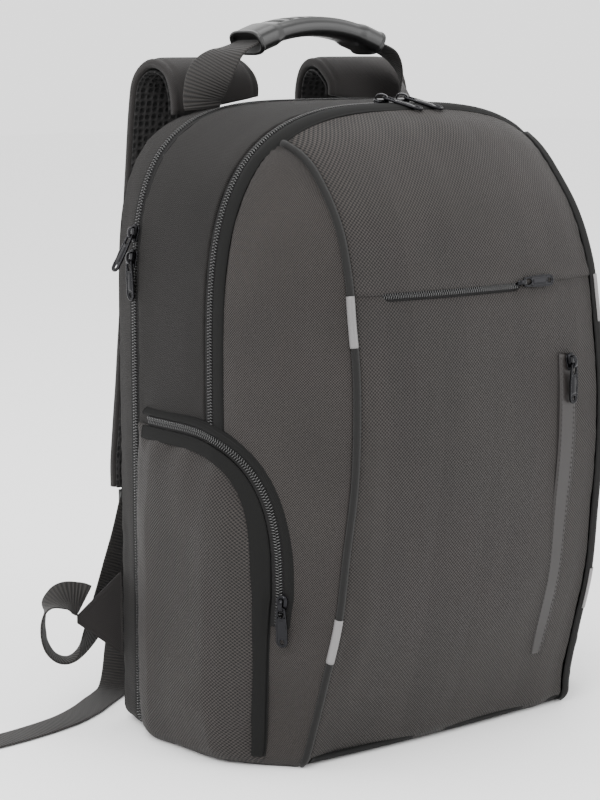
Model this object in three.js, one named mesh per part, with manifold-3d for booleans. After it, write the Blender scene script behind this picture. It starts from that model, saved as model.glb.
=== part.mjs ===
// A laptop backpack as an assembly of sewn panels, zips, straps and pulls.
// Millimetres, +Z up. The bag stands on its base, its front faces -Y, its left side is -X, and the
// origin is the middle of the base.
import * as THREE from "three";
import { mergeVertices } from "three/addons/utils/BufferGeometryUtils.js";
import Module from "manifold-3d";

const wasm = await Module();
wasm.setup();

// Driving sizes
const bagHeight = 455; // base to the top of the crown
const bagHalfWidth = 167; // middle to a side panel
const backDepth = 110; // origin to the seam round the back panel
const frontDepth = 104.5; // origin to the foremost piping
const springHeight = 280; // where the straight sides turn into the crown
const edgeRoll = 12; // radius of the rolled bottom edge
const hem = 6; // flat hem of the panels, under the bag
const fabric = 2; // wall of the foam-backed cloth panels
const backPadding = 8; // foam back panel
const seamGap = 0.3; // clearance between sewn neighbours

const laptopZipY = 82; // middle of the rear zip
const mainZipY = -6; // middle of the main zip
const zipBand = 9; // width of a zip's tape
const zipTape = 1.4; // thickness of a zip's tape
const coilWidth = 4.4;
const coilRise = 1.4; // coil above the tape
const pipingRadius = 2.4;

const frontCrown = 11; // how far the front panel bows forward between its pipings
const gussetCurve = 1.45; // power of the front gusset's bow, 1 is flat
const frontZipHeight = 333; // seam of the horizontal front pocket
const frontZipMouth = 5; // slot that the horizontal zip lies in
const stripWidth = 19; // welt of the upright front pocket
const stripTop = 283;
const stripBottom = 50;
const stripThick = 1.4;

const pocketBulge = 11; // how far a side pocket stands off the side
const pocketTop = 229; // crown of the side pocket's arch
const pocketShoulder = 128; // where the arch starts, and where its zip ends
const pocketRear = 74; // pocket's rear seam, in y
const pocketFront = -54; // pocket's front seam, in y
const pocketWall = 1.6;

const strapThick = 8; // foam of a shoulder strap
const meshThick = 2.4; // spacer mesh under it
const webbing = 25; // width of the lower webbing
const webbingThick = 1.6;
const handleWebbing = 32;
const handleWebbingThick = 2;
const gripWidth = 34;
const gripThick = 15;
const gripHalfSpan = 58;
const gripRise = 62; // top of the grip above the crown
const gripSag = 12.5; // rise of the grip's arc between its ends
const handleY = 96;
const gripGroove = 3.2; // width of a finger groove in the grip
const gripGrooveDepth = 2.4;
const gripGrooves = 8;
const lockWidth = 33; // ladder lock
const lockHeight = 19;
const lockThick = 4;
const lockDrop = 2.6; // lock's top, below the end of the strap
const lockSlot = 4;
const wingThick = 3; // folded cloth wing that carries the lower webbing
const wingLow = 49; // its seam runs from here
const wingHigh = 112; // to here
const wingReach = 35;
const wingTip = 80; // height of its free corner
const wingLean = 0.17; // how far it leans back, in radians
const tableStep = 1; // one millimetre of the webbing and handle tables

const sliderLength = 13;
const sliderWidth = 8.5;
const bridgeLength = 9;
const pullWidth = 8.4;
const pullThick = 1.6;
const pullReach = 29; // hinge axis to the tip of a zip pull
const pullEye = 7.2; // hinge axis to the far end of the pull's eye
const bridgeWidth = 3.2; // the slider's bridge, that the pull's bar passes under
const bridgeThick = 1.2;
const sliderBase = 2.2; // thickness of the slider's body
const windowHeight = 3; // clear height under the bridge
const barAhead = 1.5; // hinge axis, ahead of the slider's middle
const pullRest = -0.11; // a lying pull's lift from the cloth, in radians
const leaningRest = 0.4; // the upper laptop pull leans on the slider below it
const proppedRest = 0.04; // the front pocket's pull lies on the panel beside its slot
const topTurn = 0.8; // turn of the top pulls from the zip
const topTilt = 0.26; // their sliders' tilt towards the front panel, in radians
const upperSliderHeight = 364.5; // the laptop zip's two sliders
const lowerSliderHeight = 347;

// Tables. Heights are shares of bagHeight, halves of bagHalfWidth, and depths of backDepth or
// frontDepth. A ring's power is that of its crown's curve: the higher, the squarer its shoulders.
const ringTable = [
  { depth: -0.1, half: 0.976, top: 0.998, power: 3.1 },
  { depth: 0.35, half: 0.998, top: 1.002, power: 3.4 },
  { depth: 0.745, half: 1, top: 1, power: 3.8 },
  { depth: 1, half: 0.972, top: 0.993, power: 4.2 },
];
const pipingTable = [
  { height: 0, half: 0.755, depth: 0.584 },
  { height: 0.051, half: 0.731, depth: 0.625 },
  { height: 0.145, half: 0.716, depth: 0.742 },
  { height: 0.24, half: 0.707, depth: 0.861 },
  { height: 0.347, half: 0.697, depth: 0.923 },
  { height: 0.453, half: 0.684, depth: 0.978 },
  { height: 0.552, half: 0.677, depth: 0.985 },
  { height: 0.624, half: 0.671, depth: 0.962 },
  { height: 0.69, half: 0.67, depth: 0.919 },
  { height: 0.756, half: 0.665, depth: 0.868 },
  { height: 0.831, half: 0.653, depth: 0.737 },
  { height: 0.899, half: 0.647, depth: 0.507 },
  { height: 0.93, half: 0.656, depth: 0.345 },
  { height: 0.952, half: 0.683, depth: 0.135 },
];
const crownTable = [
  { height: 0, rise: 0.4 },
  { height: 0.2, rise: 0.75 },
  { height: 0.5, rise: 1 },
  { height: 0.75, rise: 0.85 },
  { height: 0.9, rise: 0.6 },
  { height: 1, rise: 0.05 },
];
// The wearer's side of a shoulder strap, from the top seam to its lower end. side and half are
// shares of bagHalfWidth, back of backDepth past the back panel, height of bagHeight, and tilt is
// the fall of the strap's outer edge.
const strapTable = [
  { side: 0.437, back: 0.004, height: 0.9935, half: 0.234, tilt: 0.16 },
  { side: 0.437, back: 0.006, height: 1.014, half: 0.234, tilt: 0.1 },
  { side: 0.437, back: 0.055, height: 1.036, half: 0.234, tilt: 0 },
  { side: 0.443, back: 0.155, height: 1.05, half: 0.234, tilt: 0 },
  { side: 0.449, back: 0.255, height: 1.048, half: 0.234, tilt: 0 },
  { side: 0.461, back: 0.336, height: 1.028, half: 0.234, tilt: 0 },
  { side: 0.467, back: 0.364, height: 0.99, half: 0.234, tilt: 0 },
  { side: 0.491, back: 0.364, height: 0.92, half: 0.228, tilt: 0 },
  { side: 0.527, back: 0.345, height: 0.81, half: 0.222, tilt: 0 },
  { side: 0.569, back: 0.318, height: 0.7, half: 0.21, tilt: 0 },
  { side: 0.617, back: 0.3, height: 0.59, half: 0.192, tilt: 0 },
  { side: 0.671, back: 0.291, height: 0.48, half: 0.168, tilt: 0 },
  { side: 0.707, back: 0.291, height: 0.41, half: 0.15, tilt: 0 },
  { side: 0.725, back: 0.291, height: 0.366, half: 0.132, tilt: 0 },
];
// The handle's webbing from the left seam to the grip: side is past the grip's end, y past the
// handle's middle and up above the crown, in table steps. right is the same leg's own twist on
// the other side. ax, ay and az point across the webbing.
const handleLeg = [
  { side: 36, y: 5, up: 1.4, ax: 0.93, ay: 0, az: 0.4, rightAx: 0.93, rightAy: 0 },
  { side: 36, y: 4, up: 12, ax: 0.93, ay: -0.2, az: 0.3, rightAx: 0.75, rightAy: -0.62 },
  { side: 30, y: 2, up: 26, ax: 0.8, ay: -0.6, az: 0.15, rightAx: 0.6, rightAy: -0.78 },
  { side: 17, y: 0, up: 38, ax: 0.45, ay: -0.9, az: 0.1, rightAx: 0.3, rightAy: -0.95 },
];
// The left lower webbing from its wing round the loose loop and up to the ladder lock, and its
// tail from the lock down to the floor and away. x, y and z are table steps past the wing's tip,
// the strap's lower end, or the floor under that end.
const loopRoute = [
  { tie: "wing", x: 6.6, y: -0.3, z: 12.9, ax: 0.74, ay: -0.13, az: 0.65 },
  { tie: "wing", x: 1.9, y: -0.5, z: 15, ax: 0.74, ay: 0.2, az: 0.64 },
  { tie: "wing", x: -6.6, y: 0.5, z: 17.5, ax: 0.7, ay: 0.45, az: 0.6 },
  { tie: "wing", x: -15.6, y: 0.5, z: 16.5, ax: 0.65, ay: 0.6, az: 0.45 },
  { tie: "wing", x: -24.1, y: 0.5, z: 12, ax: 0.6, ay: 0.75, az: 0.25 },
  { tie: "wing", x: -27.6, y: 0.5, z: 3, ax: 0.6, ay: 0.8, az: 0 },
  { tie: "wing", x: -27.6, y: 0.5, z: -7, ax: 0.6, ay: 0.8, az: 0 },
  { tie: "wing", x: -23.6, y: 1.5, z: -17, ax: 0.6, ay: 0.78, az: -0.1 },
  { tie: "wing", x: -14.1, y: 4.5, z: -26, ax: 0.6, ay: 0.78, az: -0.2 },
  { tie: "wing", x: -0.6, y: 9.5, z: -30.5, ax: 0.6, ay: 0.72, az: -0.35 },
  { tie: "wing", x: 13.4, y: 14.5, z: -27, ax: 0.6, ay: 0.6, az: -0.5 },
  { tie: "strap", x: -48.9, y: -12.3, z: -99.5, ax: 0.75, ay: 0.35, az: -0.5 },
  { tie: "strap", x: -35.9, y: -9.3, z: -78.5, ax: 0.9, ay: 0.15, az: -0.4 },
  { tie: "strap", x: -25.9, y: -8.3, z: -56.5, ax: 0.95, ay: 0, az: -0.3 },
  { tie: "strap", x: -16.9, y: -7.3, z: -33.5, ax: 0.97, ay: 0, az: -0.25 },
  { tie: "strap", x: -6.9, y: -1.9, z: -13.5, ax: 0.97, ay: 0, az: -0.2 },
];
const tailRoute = [
  { tie: "strap", x: -0.9, y: 5.7, z: -14.5, ax: 1, ay: 0, az: 0 },
  { tie: "strap", x: -0.9, y: 8.2, z: -41.5, ax: 0.95, ay: -0.2, az: 0 },
  { tie: "strap", x: -0.9, y: 13.7, z: -74.5, ax: 0.85, ay: -0.45, az: 0 },
  { tie: "strap", x: -1.9, y: 20.7, z: -108.5, ax: 0.75, ay: -0.6, az: 0 },
  { tie: "strap", x: -2.9, y: 25.7, z: -136.5, ax: 0.7, ay: -0.7, az: 0 },
  { tie: "floor", x: -5.9, y: 25.2, z: 10.9, ax: 0.7, ay: -0.7, az: 0 },
  { tie: "floor", x: -12.9, y: 20.2, z: 1.5, ax: 0.65, ay: -0.75, az: 0 },
  { tie: "floor", x: -22.9, y: 13.2, z: 0, ax: 0.6, ay: -0.8, az: 0 },
  { tie: "floor", x: -36.9, y: 3.7, z: 0, ax: 0.55, ay: -0.83, az: 0 },
  { tie: "floor", x: -55.9, y: -9.3, z: 0, ax: 0.5, ay: -0.86, az: 0 },
  { tie: "floor", x: -78.9, y: -20.8, z: 0, ax: 0.4, ay: -0.9, az: 0 },
  { tie: "floor", x: -102.9, y: -27.3, z: 0, ax: 0.2, ay: -1, az: 0 },
  { tie: "floor", x: -126.9, y: -31.3, z: 0, ax: 0.15, ay: -1, az: 0 },
  { tie: "floor", x: -150.9, y: -33.3, z: 0, ax: 0.1, ay: -1, az: 0 },
  { tie: "floor", x: -174.9, y: -34.3, z: 0, ax: 0.05, ay: -1, az: 0 },
];
// The right lower webbing turns once on its way up to its lock, and its tail hangs down behind it.
const rightRoute = [
  { tie: "wing", x: -8.8, y: -0.5, z: 10, ax: -0.72, ay: 0, az: 0.69 },
  { tie: "wing", x: -2.4, y: 3.5, z: 19, ax: -0.8, ay: -0.2, az: 0.5 },
  { tie: "wing", x: -7.4, y: 11.5, z: 30, ax: -0.7, ay: -0.6, az: 0.1 },
  { tie: "strap", x: 50.9, y: -12.3, z: -50.5, ax: -0.3, ay: -0.6, az: -0.6 },
  { tie: "strap", x: 30.9, y: -8.3, z: -44.5, ax: 0.3, ay: 0, az: -0.9 },
  { tie: "strap", x: 17.9, y: -6.8, z: -32.5, ax: 0.8, ay: 0, az: -0.6 },
  { tie: "strap", x: 6.9, y: -1.9, z: -13.5, ax: 0.97, ay: 0, az: 0.2 },
];
const rightTail = [
  { tie: "strap", x: 0.9, y: 5.7, z: -14.5, ax: 1, ay: 0, az: 0 },
  { tie: "strap", x: 0.9, y: 8.2, z: -41.5, ax: 1, ay: 0, az: 0 },
  { tie: "strap", x: 1.9, y: 7.7, z: -71.5, ax: 1, ay: 0.1, az: 0 },
  { tie: "strap", x: 2.9, y: 5.7, z: -101.5, ax: 1, ay: 0.2, az: 0 },
];

const material = {
  twill: { color: 0x262524, roughness: 0.9, metalness: 0 },
  oxford: { color: 0x3a3836, roughness: 0.85, metalness: 0 },
  jacquard: { color: 0x45413f, roughness: 0.8, metalness: 0 },
  coated: { color: 0x3b3736, roughness: 0.6, metalness: 0 },
  zip: { color: 0x1b1b1b, roughness: 0.6, metalness: 0 },
  piping: { color: 0x2a2a29, roughness: 0.85, metalness: 0 },
  reflector: { color: 0xb9b6b6, roughness: 0.45, metalness: 0.1 },
  mesh: { color: 0x191919, roughness: 0.95, metalness: 0 },
  webbing: { color: 0x1f1e1d, roughness: 0.8, metalness: 0 },
  rubber: { color: 0x2b2b2a, roughness: 0.5, metalness: 0 },
  plastic: { color: 0x1c1c1c, roughness: 0.45, metalness: 0 },
  gunmetal: { color: 0x3a3a3c, roughness: 0.35, metalness: 0.9 },
};

const backpack = new THREE.Group();

// Adds a mesh of its own under a plain name.
function addPiece(name, geometry, finish) {
  const mesh = new THREE.Mesh(geometry, new THREE.MeshStandardMaterial(material[finish]));
  mesh.name = name;
  backpack.add(mesh);
  return mesh;
}

// Reads a table between its rows with a Catmull-Rom curve, by any rising column.
function lookUp(table, column, value) {
  const last = table.length - 1;
  let i = 0;
  while (i < last - 1 && table[i + 1][column] < value) i += 1;
  const rows = [table[Math.max(i - 1, 0)], table[i], table[i + 1], table[Math.min(i + 2, last)]];
  const span = rows[2][column] - rows[1][column];
  const t = THREE.MathUtils.clamp((value - rows[1][column]) / span, 0, 1);
  const found = {};
  for (const key of Object.keys(rows[1])) {
    const before = (rows[2][key] - rows[0][key]) / (rows[2][column] - rows[0][column]);
    const after = (rows[3][key] - rows[1][key]) / (rows[3][column] - rows[1][column]);
    const start = (2 * t ** 3 - 3 * t ** 2 + 1) * rows[1][key];
    const end = (3 * t ** 2 - 2 * t ** 3) * rows[2][key];
    const bend = (t ** 3 - 2 * t ** 2 + t) * before + (t ** 3 - t ** 2) * after;
    found[key] = start + end + bend * span;
  }
  return found;
}

const steps = (from, to, count) =>
  Array.from({ length: count + 1 }, (_, i) => from + ((to - from) * i) / count);

// Turns a closed mesh round when its faces point inwards.
function faceOut(points, faces) {
  let volume = 0;
  for (const [a, b, c] of faces) {
    volume += points[a].dot(new THREE.Vector3().crossVectors(points[b], points[c]));
  }
  const turned = volume < 0 ? faces.map(([a, b, c]) => [a, c, b]) : faces;
  const geometry = new THREE.BufferGeometry().setFromPoints(points);
  geometry.setIndex(turned.flat());
  geometry.computeVertexNormals();
  return geometry;
}

// A sheet of cloth: a grid of outer points, thickened towards a point inside the bag. Where
// besideZip says so, its edge stands square to the zip's ring, whose plane faces Y.
function slab(grid, thickness, inside, besideZip = () => false) {
  const rows = grid.length;
  const columns = grid[0].length;
  const inner = grid.map((row, i) =>
    row.map((p, j) => {
      const along = new THREE.Vector3().subVectors(
        grid[Math.min(i + 1, rows - 1)][j],
        grid[Math.max(i - 1, 0)][j],
      );
      const across = new THREE.Vector3().subVectors(
        row[Math.min(j + 1, columns - 1)],
        row[Math.max(j - 1, 0)],
      );
      const normal = along.cross(across);
      if (besideZip(i, j)) normal.y = 0;
      normal.normalize();
      const inward = new THREE.Vector3().subVectors(inside, p);
      if (normal.dot(inward) < 0) normal.negate();
      return p.clone().addScaledVector(normal, thickness);
    }),
  );
  const points = [...grid.flat(), ...inner.flat()];
  const outer = (i, j) => i * columns + j;
  const back = (i, j) => rows * columns + outer(i, j);
  const faces = [];
  const quad = (a, b, c, d) => faces.push([a, b, c], [a, c, d]);
  for (let i = 0; i < rows - 1; i += 1) {
    for (let j = 0; j < columns - 1; j += 1) {
      quad(outer(i, j), outer(i + 1, j), outer(i + 1, j + 1), outer(i, j + 1));
      quad(back(i, j), back(i, j + 1), back(i + 1, j + 1), back(i + 1, j));
    }
  }
  for (let i = 0; i < rows - 1; i += 1) {
    quad(outer(i, 0), back(i, 0), back(i + 1, 0), outer(i + 1, 0));
    quad(outer(i, columns - 1), outer(i + 1, columns - 1), back(i + 1, columns - 1), back(i, columns - 1));
  }
  for (let j = 0; j < columns - 1; j += 1) {
    quad(outer(0, j), outer(0, j + 1), back(0, j + 1), back(0, j));
    quad(outer(rows - 1, j), back(rows - 1, j), back(rows - 1, j + 1), outer(rows - 1, j + 1));
  }
  return faceOut(points, faces);
}

// A closed profile carried along frames. profile(i) gives the section's points at frame i as
// pairs of lengths along the frame's across and out directions.
function carry(profile, frames) {
  const sections = frames.map((f, i) =>
    profile(i).map(([a, b]) => f.at.clone().addScaledVector(f.across, a).addScaledVector(f.out, b)),
  );
  const sides = sections[0].length;
  const points = sections.flat();
  const faces = [];
  for (let i = 0; i < sections.length - 1; i += 1) {
    for (let j = 0; j < sides; j += 1) {
      const k = (j + 1) % sides;
      const [a, b] = [i * sides + j, i * sides + k];
      const [c, d] = [a + sides, b + sides];
      faces.push([a, b, d], [a, d, c]);
    }
  }
  const cap = THREE.ShapeUtils.triangulateShape(profile(0).map(([a, b]) => new THREE.Vector2(a, b)), []);
  const endCap = THREE.ShapeUtils.triangulateShape(
    profile(frames.length - 1).map(([a, b]) => new THREE.Vector2(a, b)),
    [],
  );
  const last = (sections.length - 1) * sides;
  for (const [a, b, c] of cap) faces.push([a, c, b]);
  for (const [a, b, c] of endCap) faces.push([last + a, last + b, last + c]);
  return faceOut(points, faces);
}

// Frames along a list of points: across is given per point, out completes it. A frame that is
// kept holds its across as given, so that its section may stand askew to the path.
function framesAlong(points, acrossAt, kept = () => false) {
  return points.map((at, i) => {
    const along = new THREE.Vector3()
      .subVectors(points[Math.min(i + 1, points.length - 1)], points[Math.max(i - 1, 0)])
      .normalize();
    const across = acrossAt(i).clone();
    if (!kept(i)) across.addScaledVector(along, -across.dot(along));
    across.normalize();
    return { at, across, out: new THREE.Vector3().crossVectors(along, across).normalize() };
  });
}

// Joining and cutting of closed solids
function solidOf(geometry) {
  const bare = geometry.index ? geometry.toNonIndexed() : geometry.clone();
  bare.deleteAttribute("normal");
  bare.deleteAttribute("uv");
  const merged = mergeVertices(bare, 1e-4);
  return new wasm.Manifold(
    new wasm.Mesh({
      numProp: 3,
      vertProperties: merged.attributes.position.array,
      triVerts: new Uint32Array(merged.index.array),
    }),
  );
}

function geometryOf(solid) {
  const mesh = solid.getMesh();
  const geometry = new THREE.BufferGeometry();
  geometry.setAttribute("position", new THREE.BufferAttribute(mesh.vertProperties, 3));
  geometry.setIndex(new THREE.BufferAttribute(mesh.triVerts, 1));
  geometry.computeVertexNormals();
  return geometry;
}

// The bag's shape

// How far the rolled bottom edge pulls the outline in at a height. A level below zero lies on the
// flat hem, that far in from the end of the roll.
function rollInset(level) {
  if (level >= edgeRoll) return 0;
  if (level < 0) return edgeRoll - level;
  return edgeRoll - Math.sqrt(edgeRoll ** 2 - (edgeRoll - level) ** 2);
}

function ringAt(y) {
  const row = lookUp(ringTable, "depth", y / backDepth);
  return { half: row.half * bagHalfWidth, top: row.top * bagHeight, power: row.power };
}

// Half the bag's width at a height, on the ring at depth y: straight sides, then a rounded crown.
function sideHalf(y, z) {
  const { half, top, power } = ringAt(y);
  if (z <= springHeight) return half - rollInset(z);
  const up = Math.min((z - springHeight) / (top - springHeight), 1);
  return half * (1 - up ** power) ** (1 / power);
}

// The crown's height over x, on the ring at depth y.
function crownHeight(y, x) {
  const { half, top, power } = ringAt(y);
  return springHeight + (top - springHeight) * (1 - Math.abs(x / half) ** power) ** (1 / power);
}

// Levels of a ring from the base's left edge over the crown to its right edge.
const crownSteps = 9;
const rollLevels = [-hem, 0, 0.3 * edgeRoll, edgeRoll];
const sideLevels = [...rollLevels, ...steps(edgeRoll, springHeight, 4).slice(1)];

function ringPoints(y, levels = sideLevels) {
  const { half, top, power } = ringAt(y);
  const left = levels.map((z) => new THREE.Vector3(-sideHalf(y, z), y, Math.max(z, 0)));
  for (let i = 1; i <= crownSteps; i += 1) {
    const angle = (Math.PI / 2) * (i / crownSteps);
    const reach = (Math.cos(angle) ** power + Math.sin(angle) ** power) ** (1 / power);
    const up = Math.sin(angle) / reach;
    const side = i === crownSteps ? 0 : Math.cos(angle) / reach;
    left.push(new THREE.Vector3(-half * side, y, springHeight + (top - springHeight) * up));
  }
  const right = left.slice(0, -1).reverse();
  return [...left, ...right.map((p) => new THREE.Vector3(-p.x, p.y, p.z))];
}

const bagMiddle = new THREE.Vector3(0, 25, 200);
const zipHalf = zipBand / 2;
const gussetStart = mainZipY - zipHalf - seamGap;
const tipShare = pipingTable.at(-1).height;

// The piping's place at a height, on the left side.
function pipingAt(z) {
  const row = lookUp(pipingTable, "height", z / bagHeight);
  const inset = rollInset(z);
  return { half: row.half * bagHalfWidth - 0.4 * inset, y: -row.depth * frontDepth + inset };
}

// The front gusset between the main zip and the piping; s runs from 0 at the zip to 1.
function gussetPoint(z, s) {
  const piping = pipingAt(z);
  const start = sideHalf(gussetStart, z);
  const half = start - (start - piping.half) * s ** gussetCurve;
  return new THREE.Vector3(-half, gussetStart + (piping.y - gussetStart) * s, Math.max(z, 0));
}

// The front panel; v is the share of the way up, s runs from -1 at the left piping to 1.
function frontPoint(v, s) {
  const tipHalf = pipingTable.at(-1).half * bagHalfWidth;
  const piping = pipingAt(v * tipShare * bagHeight);
  const bow = frontCrown * lookUp(crownTable, "height", v).rise;
  const round = 1 - s * s;
  const z = v * crownHeight(gussetStart, tipHalf * s);
  return new THREE.Vector3(piping.half * s, piping.y - bow * round, Math.max(z, 0));
}

// The share v of the front panel at which its middle stands at a height.
const frontShare = (z) => z / crownHeight(gussetStart, 0);

// The outside of the side, gusset included, at a depth and height, on the left.
function flankHalf(y, z) {
  if (y >= gussetStart) return sideHalf(y, z);
  const piping = pipingAt(z);
  const s = Math.min((y - gussetStart) / (piping.y - gussetStart), 1);
  const start = sideHalf(gussetStart, z);
  return start - (start - piping.half) * s ** gussetCurve;
}

// Bands round the bag
function band(name, fromY, toY, count, finish) {
  const grid = steps(fromY, toY, count).map((y) => ringPoints(y));
  addPiece(name, slab(grid, fabric, bagMiddle), finish);
}

const zipSeam = zipHalf + seamGap;
band("laptop_gusset", laptopZipY + zipSeam, backDepth, 2, "twill");
band("main_gusset", mainZipY + zipSeam, laptopZipY - zipSeam, 3, "twill");

// A zip: tape with a coil ridge, its section across the tape and out of it.
const zipSection = [
  [-zipHalf, -zipTape],
  [zipHalf, -zipTape],
  [zipHalf, 0],
  [coilWidth / 2, 0],
  [coilWidth / 4, coilRise],
  [-coilWidth / 4, coilRise],
  [-coilWidth / 2, 0],
  [-zipHalf, 0],
];

function zipAlong(name, points, acrossAt) {
  const frames = framesAlong(points, acrossAt);
  addPiece(name, carry(() => zipSection, frames), "zip");
}

const backwards = new THREE.Vector3(0, 1, 0);
const laptopZipLevels = [0.3 * edgeRoll, edgeRoll, ...steps(edgeRoll, springHeight, 4).slice(1)];
const mainZipLevels = steps(2 * edgeRoll, springHeight, 4);
zipAlong("laptop_zip", ringPoints(laptopZipY, laptopZipLevels), () => backwards);
zipAlong("main_zip", ringPoints(mainZipY, mainZipLevels), () => backwards);

// Mirrors a geometry to the other side and turns its faces back.
function mirrored(geometry) {
  const copy = geometry.clone().applyMatrix4(new THREE.Matrix4().makeScale(-1, 1, 1));
  const index = copy.index.array;
  for (let i = 0; i < index.length; i += 3) [index[i + 1], index[i + 2]] = [index[i + 2], index[i + 1]];
  copy.computeVertexNormals();
  return copy;
}

function addPair(name, geometry, finish) {
  addPiece(`${name}_left`, geometry, finish);
  addPiece(`${name}_right`, mirrored(geometry), finish);
}

// The piping stands a little proud of the seam that it is sewn into.
const pipingProud = 1.2;
const tipHeight = tipShare * bagHeight;
const proudWay = new THREE.Vector3(-1, -1, 0).normalize();

function pipingPoint(z) {
  const p = pipingAt(z);
  return new THREE.Vector3(-p.half, p.y, z).addScaledVector(proudWay, pipingProud);
}
const pipingLine = steps(0, tipHeight, 90).map(pipingPoint);

// The largest share at which a line that runs towards the left piping still clears it.
function clearShare(pointAt) {
  let [clear, touching] = [0, 0.985];
  for (let i = 0; i < 14; i += 1) {
    const middle = (clear + touching) / 2;
    const p = pointAt(middle);
    const nearest = Math.min(...pipingLine.map((q) => q.distanceTo(p)));
    if (nearest > pipingRadius + 5 * seamGap) clear = middle;
    else touching = middle;
  }
  return clear;
}

// Front gussets: they stop short of the piping that is sewn between them and the front panel.
// Panels and piping share these levels, so that their facets run side by side.
const seamLevels = [
  ...rollLevels,
  ...steps(edgeRoll, springHeight, 7).slice(1),
  ...steps(springHeight, 0.985 * tipHeight, 9).slice(1),
];
const gussetGrid = seamLevels.map((z) => {
  const edge = clearShare((s) => gussetPoint(z, s));
  return steps(0, edge, 4).map((s) => gussetPoint(z, s));
});
addPair("front_gusset", slab(gussetGrid, fabric, bagMiddle, (i, j) => j === 0), "oxford");

// Front panels, above and below the horizontal pocket's zip
const panelColumns = 10;
function frontGrid(fromV, toV) {
  const between = seamLevels.map((z) => z / tipHeight).filter((v) => v > fromV + 0.01 && v < toV - 0.01);
  return [fromV, ...between, toV].map((v) => {
    const edge = clearShare((s) => frontPoint(v, -s));
    return steps(-edge, edge, panelColumns).map((s) => frontPoint(v, s));
  });
}
const mouthHalf = frontZipMouth / 2 / bagHeight;
const lowerTop = frontShare(frontZipHeight) - mouthHalf;
const upperBottom = frontShare(frontZipHeight) + mouthHalf;
const lowerGrid = [
  ...rollLevels.slice(0, 3).map((z) => frontGrid(z / tipHeight, 1)[0]),
  ...frontGrid(edgeRoll / tipHeight, lowerTop),
];
addPiece("front_panel_lower", slab(lowerGrid, fabric, bagMiddle), "jacquard");
const upperGrid = frontGrid(upperBottom, 1 - seamGap / bagHeight);
const upperTopRow = upperGrid.length - 1;
addPiece("front_panel_upper", slab(upperGrid, fabric, bagMiddle, (i) => i === upperTopRow), "jacquard");

// Base panel: the outline of everything that rolls under, drawn in by the seam gap
function outlineAtBase() {
  const sides = [backDepth, laptopZipY, 0.35 * backDepth].map(
    (y) => new THREE.Vector2(-sideHalf(y, -hem), y),
  );
  const left = [...sides, ...gussetGrid[0].map((p) => new THREE.Vector2(p.x, p.y))];
  const front = lowerGrid[0].map((p) => new THREE.Vector2(p.x, p.y));
  const right = [...left].reverse().map((p) => new THREE.Vector2(-p.x, p.y));
  return [...left, ...front, ...right];
}

function drawnIn(outline, by) {
  const count = outline.length;
  return outline.map((p, i) => {
    const before = outline[(i + count - 1) % count];
    const after = outline[(i + 1) % count];
    const along = new THREE.Vector2().subVectors(after, before).normalize();
    const inward = new THREE.Vector2(-along.y, along.x);
    if (inward.dot(new THREE.Vector2(-p.x, bagMiddle.y - p.y)) < 0) inward.negate();
    return p.clone().addScaledVector(inward, by);
  });
}

function flatPlate(outline, thickness) {
  const shape = new THREE.Shape(outline);
  return new THREE.ExtrudeGeometry(shape, { depth: thickness, bevelEnabled: false });
}

addPiece("base_panel", flatPlate(drawnIn(outlineAtBase(), 1.5 * seamGap), fabric), "twill");

// Back panel: foam behind the rear seam, with the ring's outline
const backRing = ringPoints(backDepth, [0.5, 0.3 * edgeRoll, edgeRoll, springHeight]);
const backOutline = backRing.map((p) => new THREE.Vector2(p.x, p.z));
const backPanel = flatPlate(backOutline, backPadding);
backPanel.rotateX(Math.PI / 2);
backPanel.translate(0, backDepth + seamGap + backPadding, 0);
addPiece("back_panel", backPanel, "mesh");

// Piping down each edge of the front panel, with two reflective sleeves a side
const pipingSides = 8;
const pipingLevels = [...seamLevels.slice(2), tipHeight - 2];

function pipingFrames(levels) {
  return framesAlong(levels.map(pipingPoint), () => proudWay.clone().negate());
}

function roundSection(radius, sides) {
  return steps(0, 2 * Math.PI, sides)
    .slice(0, -1)
    .map((a) => [radius * Math.cos(a), radius * Math.sin(a)]);
}

const cord = carry(() => roundSection(pipingRadius, pipingSides), pipingFrames(pipingLevels));
addPair("piping", cord, "piping");

const sleeveThick = 0.6;
const sleeveInner = pipingRadius + seamGap;
const sleeveReach = 0.4 * Math.PI;

// A sleeve's section: an open collar round the outward side of the piping.
function sleeveSection() {
  const angles = steps(Math.PI - sleeveReach, Math.PI + sleeveReach, 4);
  const arc = (radius) => angles.map((a) => [radius * Math.cos(a), radius * Math.sin(a)]);
  return [...arc(sleeveInner + sleeveThick), ...arc(sleeveInner).reverse()];
}
for (const [place, low, high] of [
  ["upper", 0.656, 0.733],
  ["lower", 0.178, 0.25],
]) {
  const levels = steps(low * bagHeight, high * bagHeight, 4);
  addPair(`reflector_${place}`, carry(sleeveSection, pipingFrames(levels)), "reflector");
}

// Side pockets: a bulging sheet whose rim lies on the side, under an arch
const archPower = 3.2;

// The pocket's top at a share a of its way from the rear seam to the front seam.
function pocketHeight(a) {
  const ahead = Math.max((a - 0.3) / 0.7, 0);
  return pocketShoulder + (pocketTop - pocketShoulder) * (1 - ahead ** archPower) ** (1 / archPower);
}

function pocketFrontAt(z) {
  const lean = 12 * (1 - Math.min(z / pocketShoulder, 1));
  return pocketFront + lean + 0.6 * rollInset(z);
}

// A point of the pocket's cloth; a runs forwards and b up, lift is the stand-off at its rim.
function pocketPoint(a, b, lift) {
  const z = pocketHeight(a) * b;
  const y = pocketRear + (pocketFrontAt(z) - pocketRear) * a;
  const alongRise = Math.min(1, 1.35 * Math.sqrt(Math.sin(Math.PI * a)));
  const upRise = Math.min(1, 1.25 * Math.cos((Math.PI / 2) * b ** 3));
  const low = Math.min(1, 0.35 + z / 60);
  const stand = lift + pocketBulge * alongRise * upRise * low;
  return new THREE.Vector3(-flankHalf(y, z) - stand, y, z);
}

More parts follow.
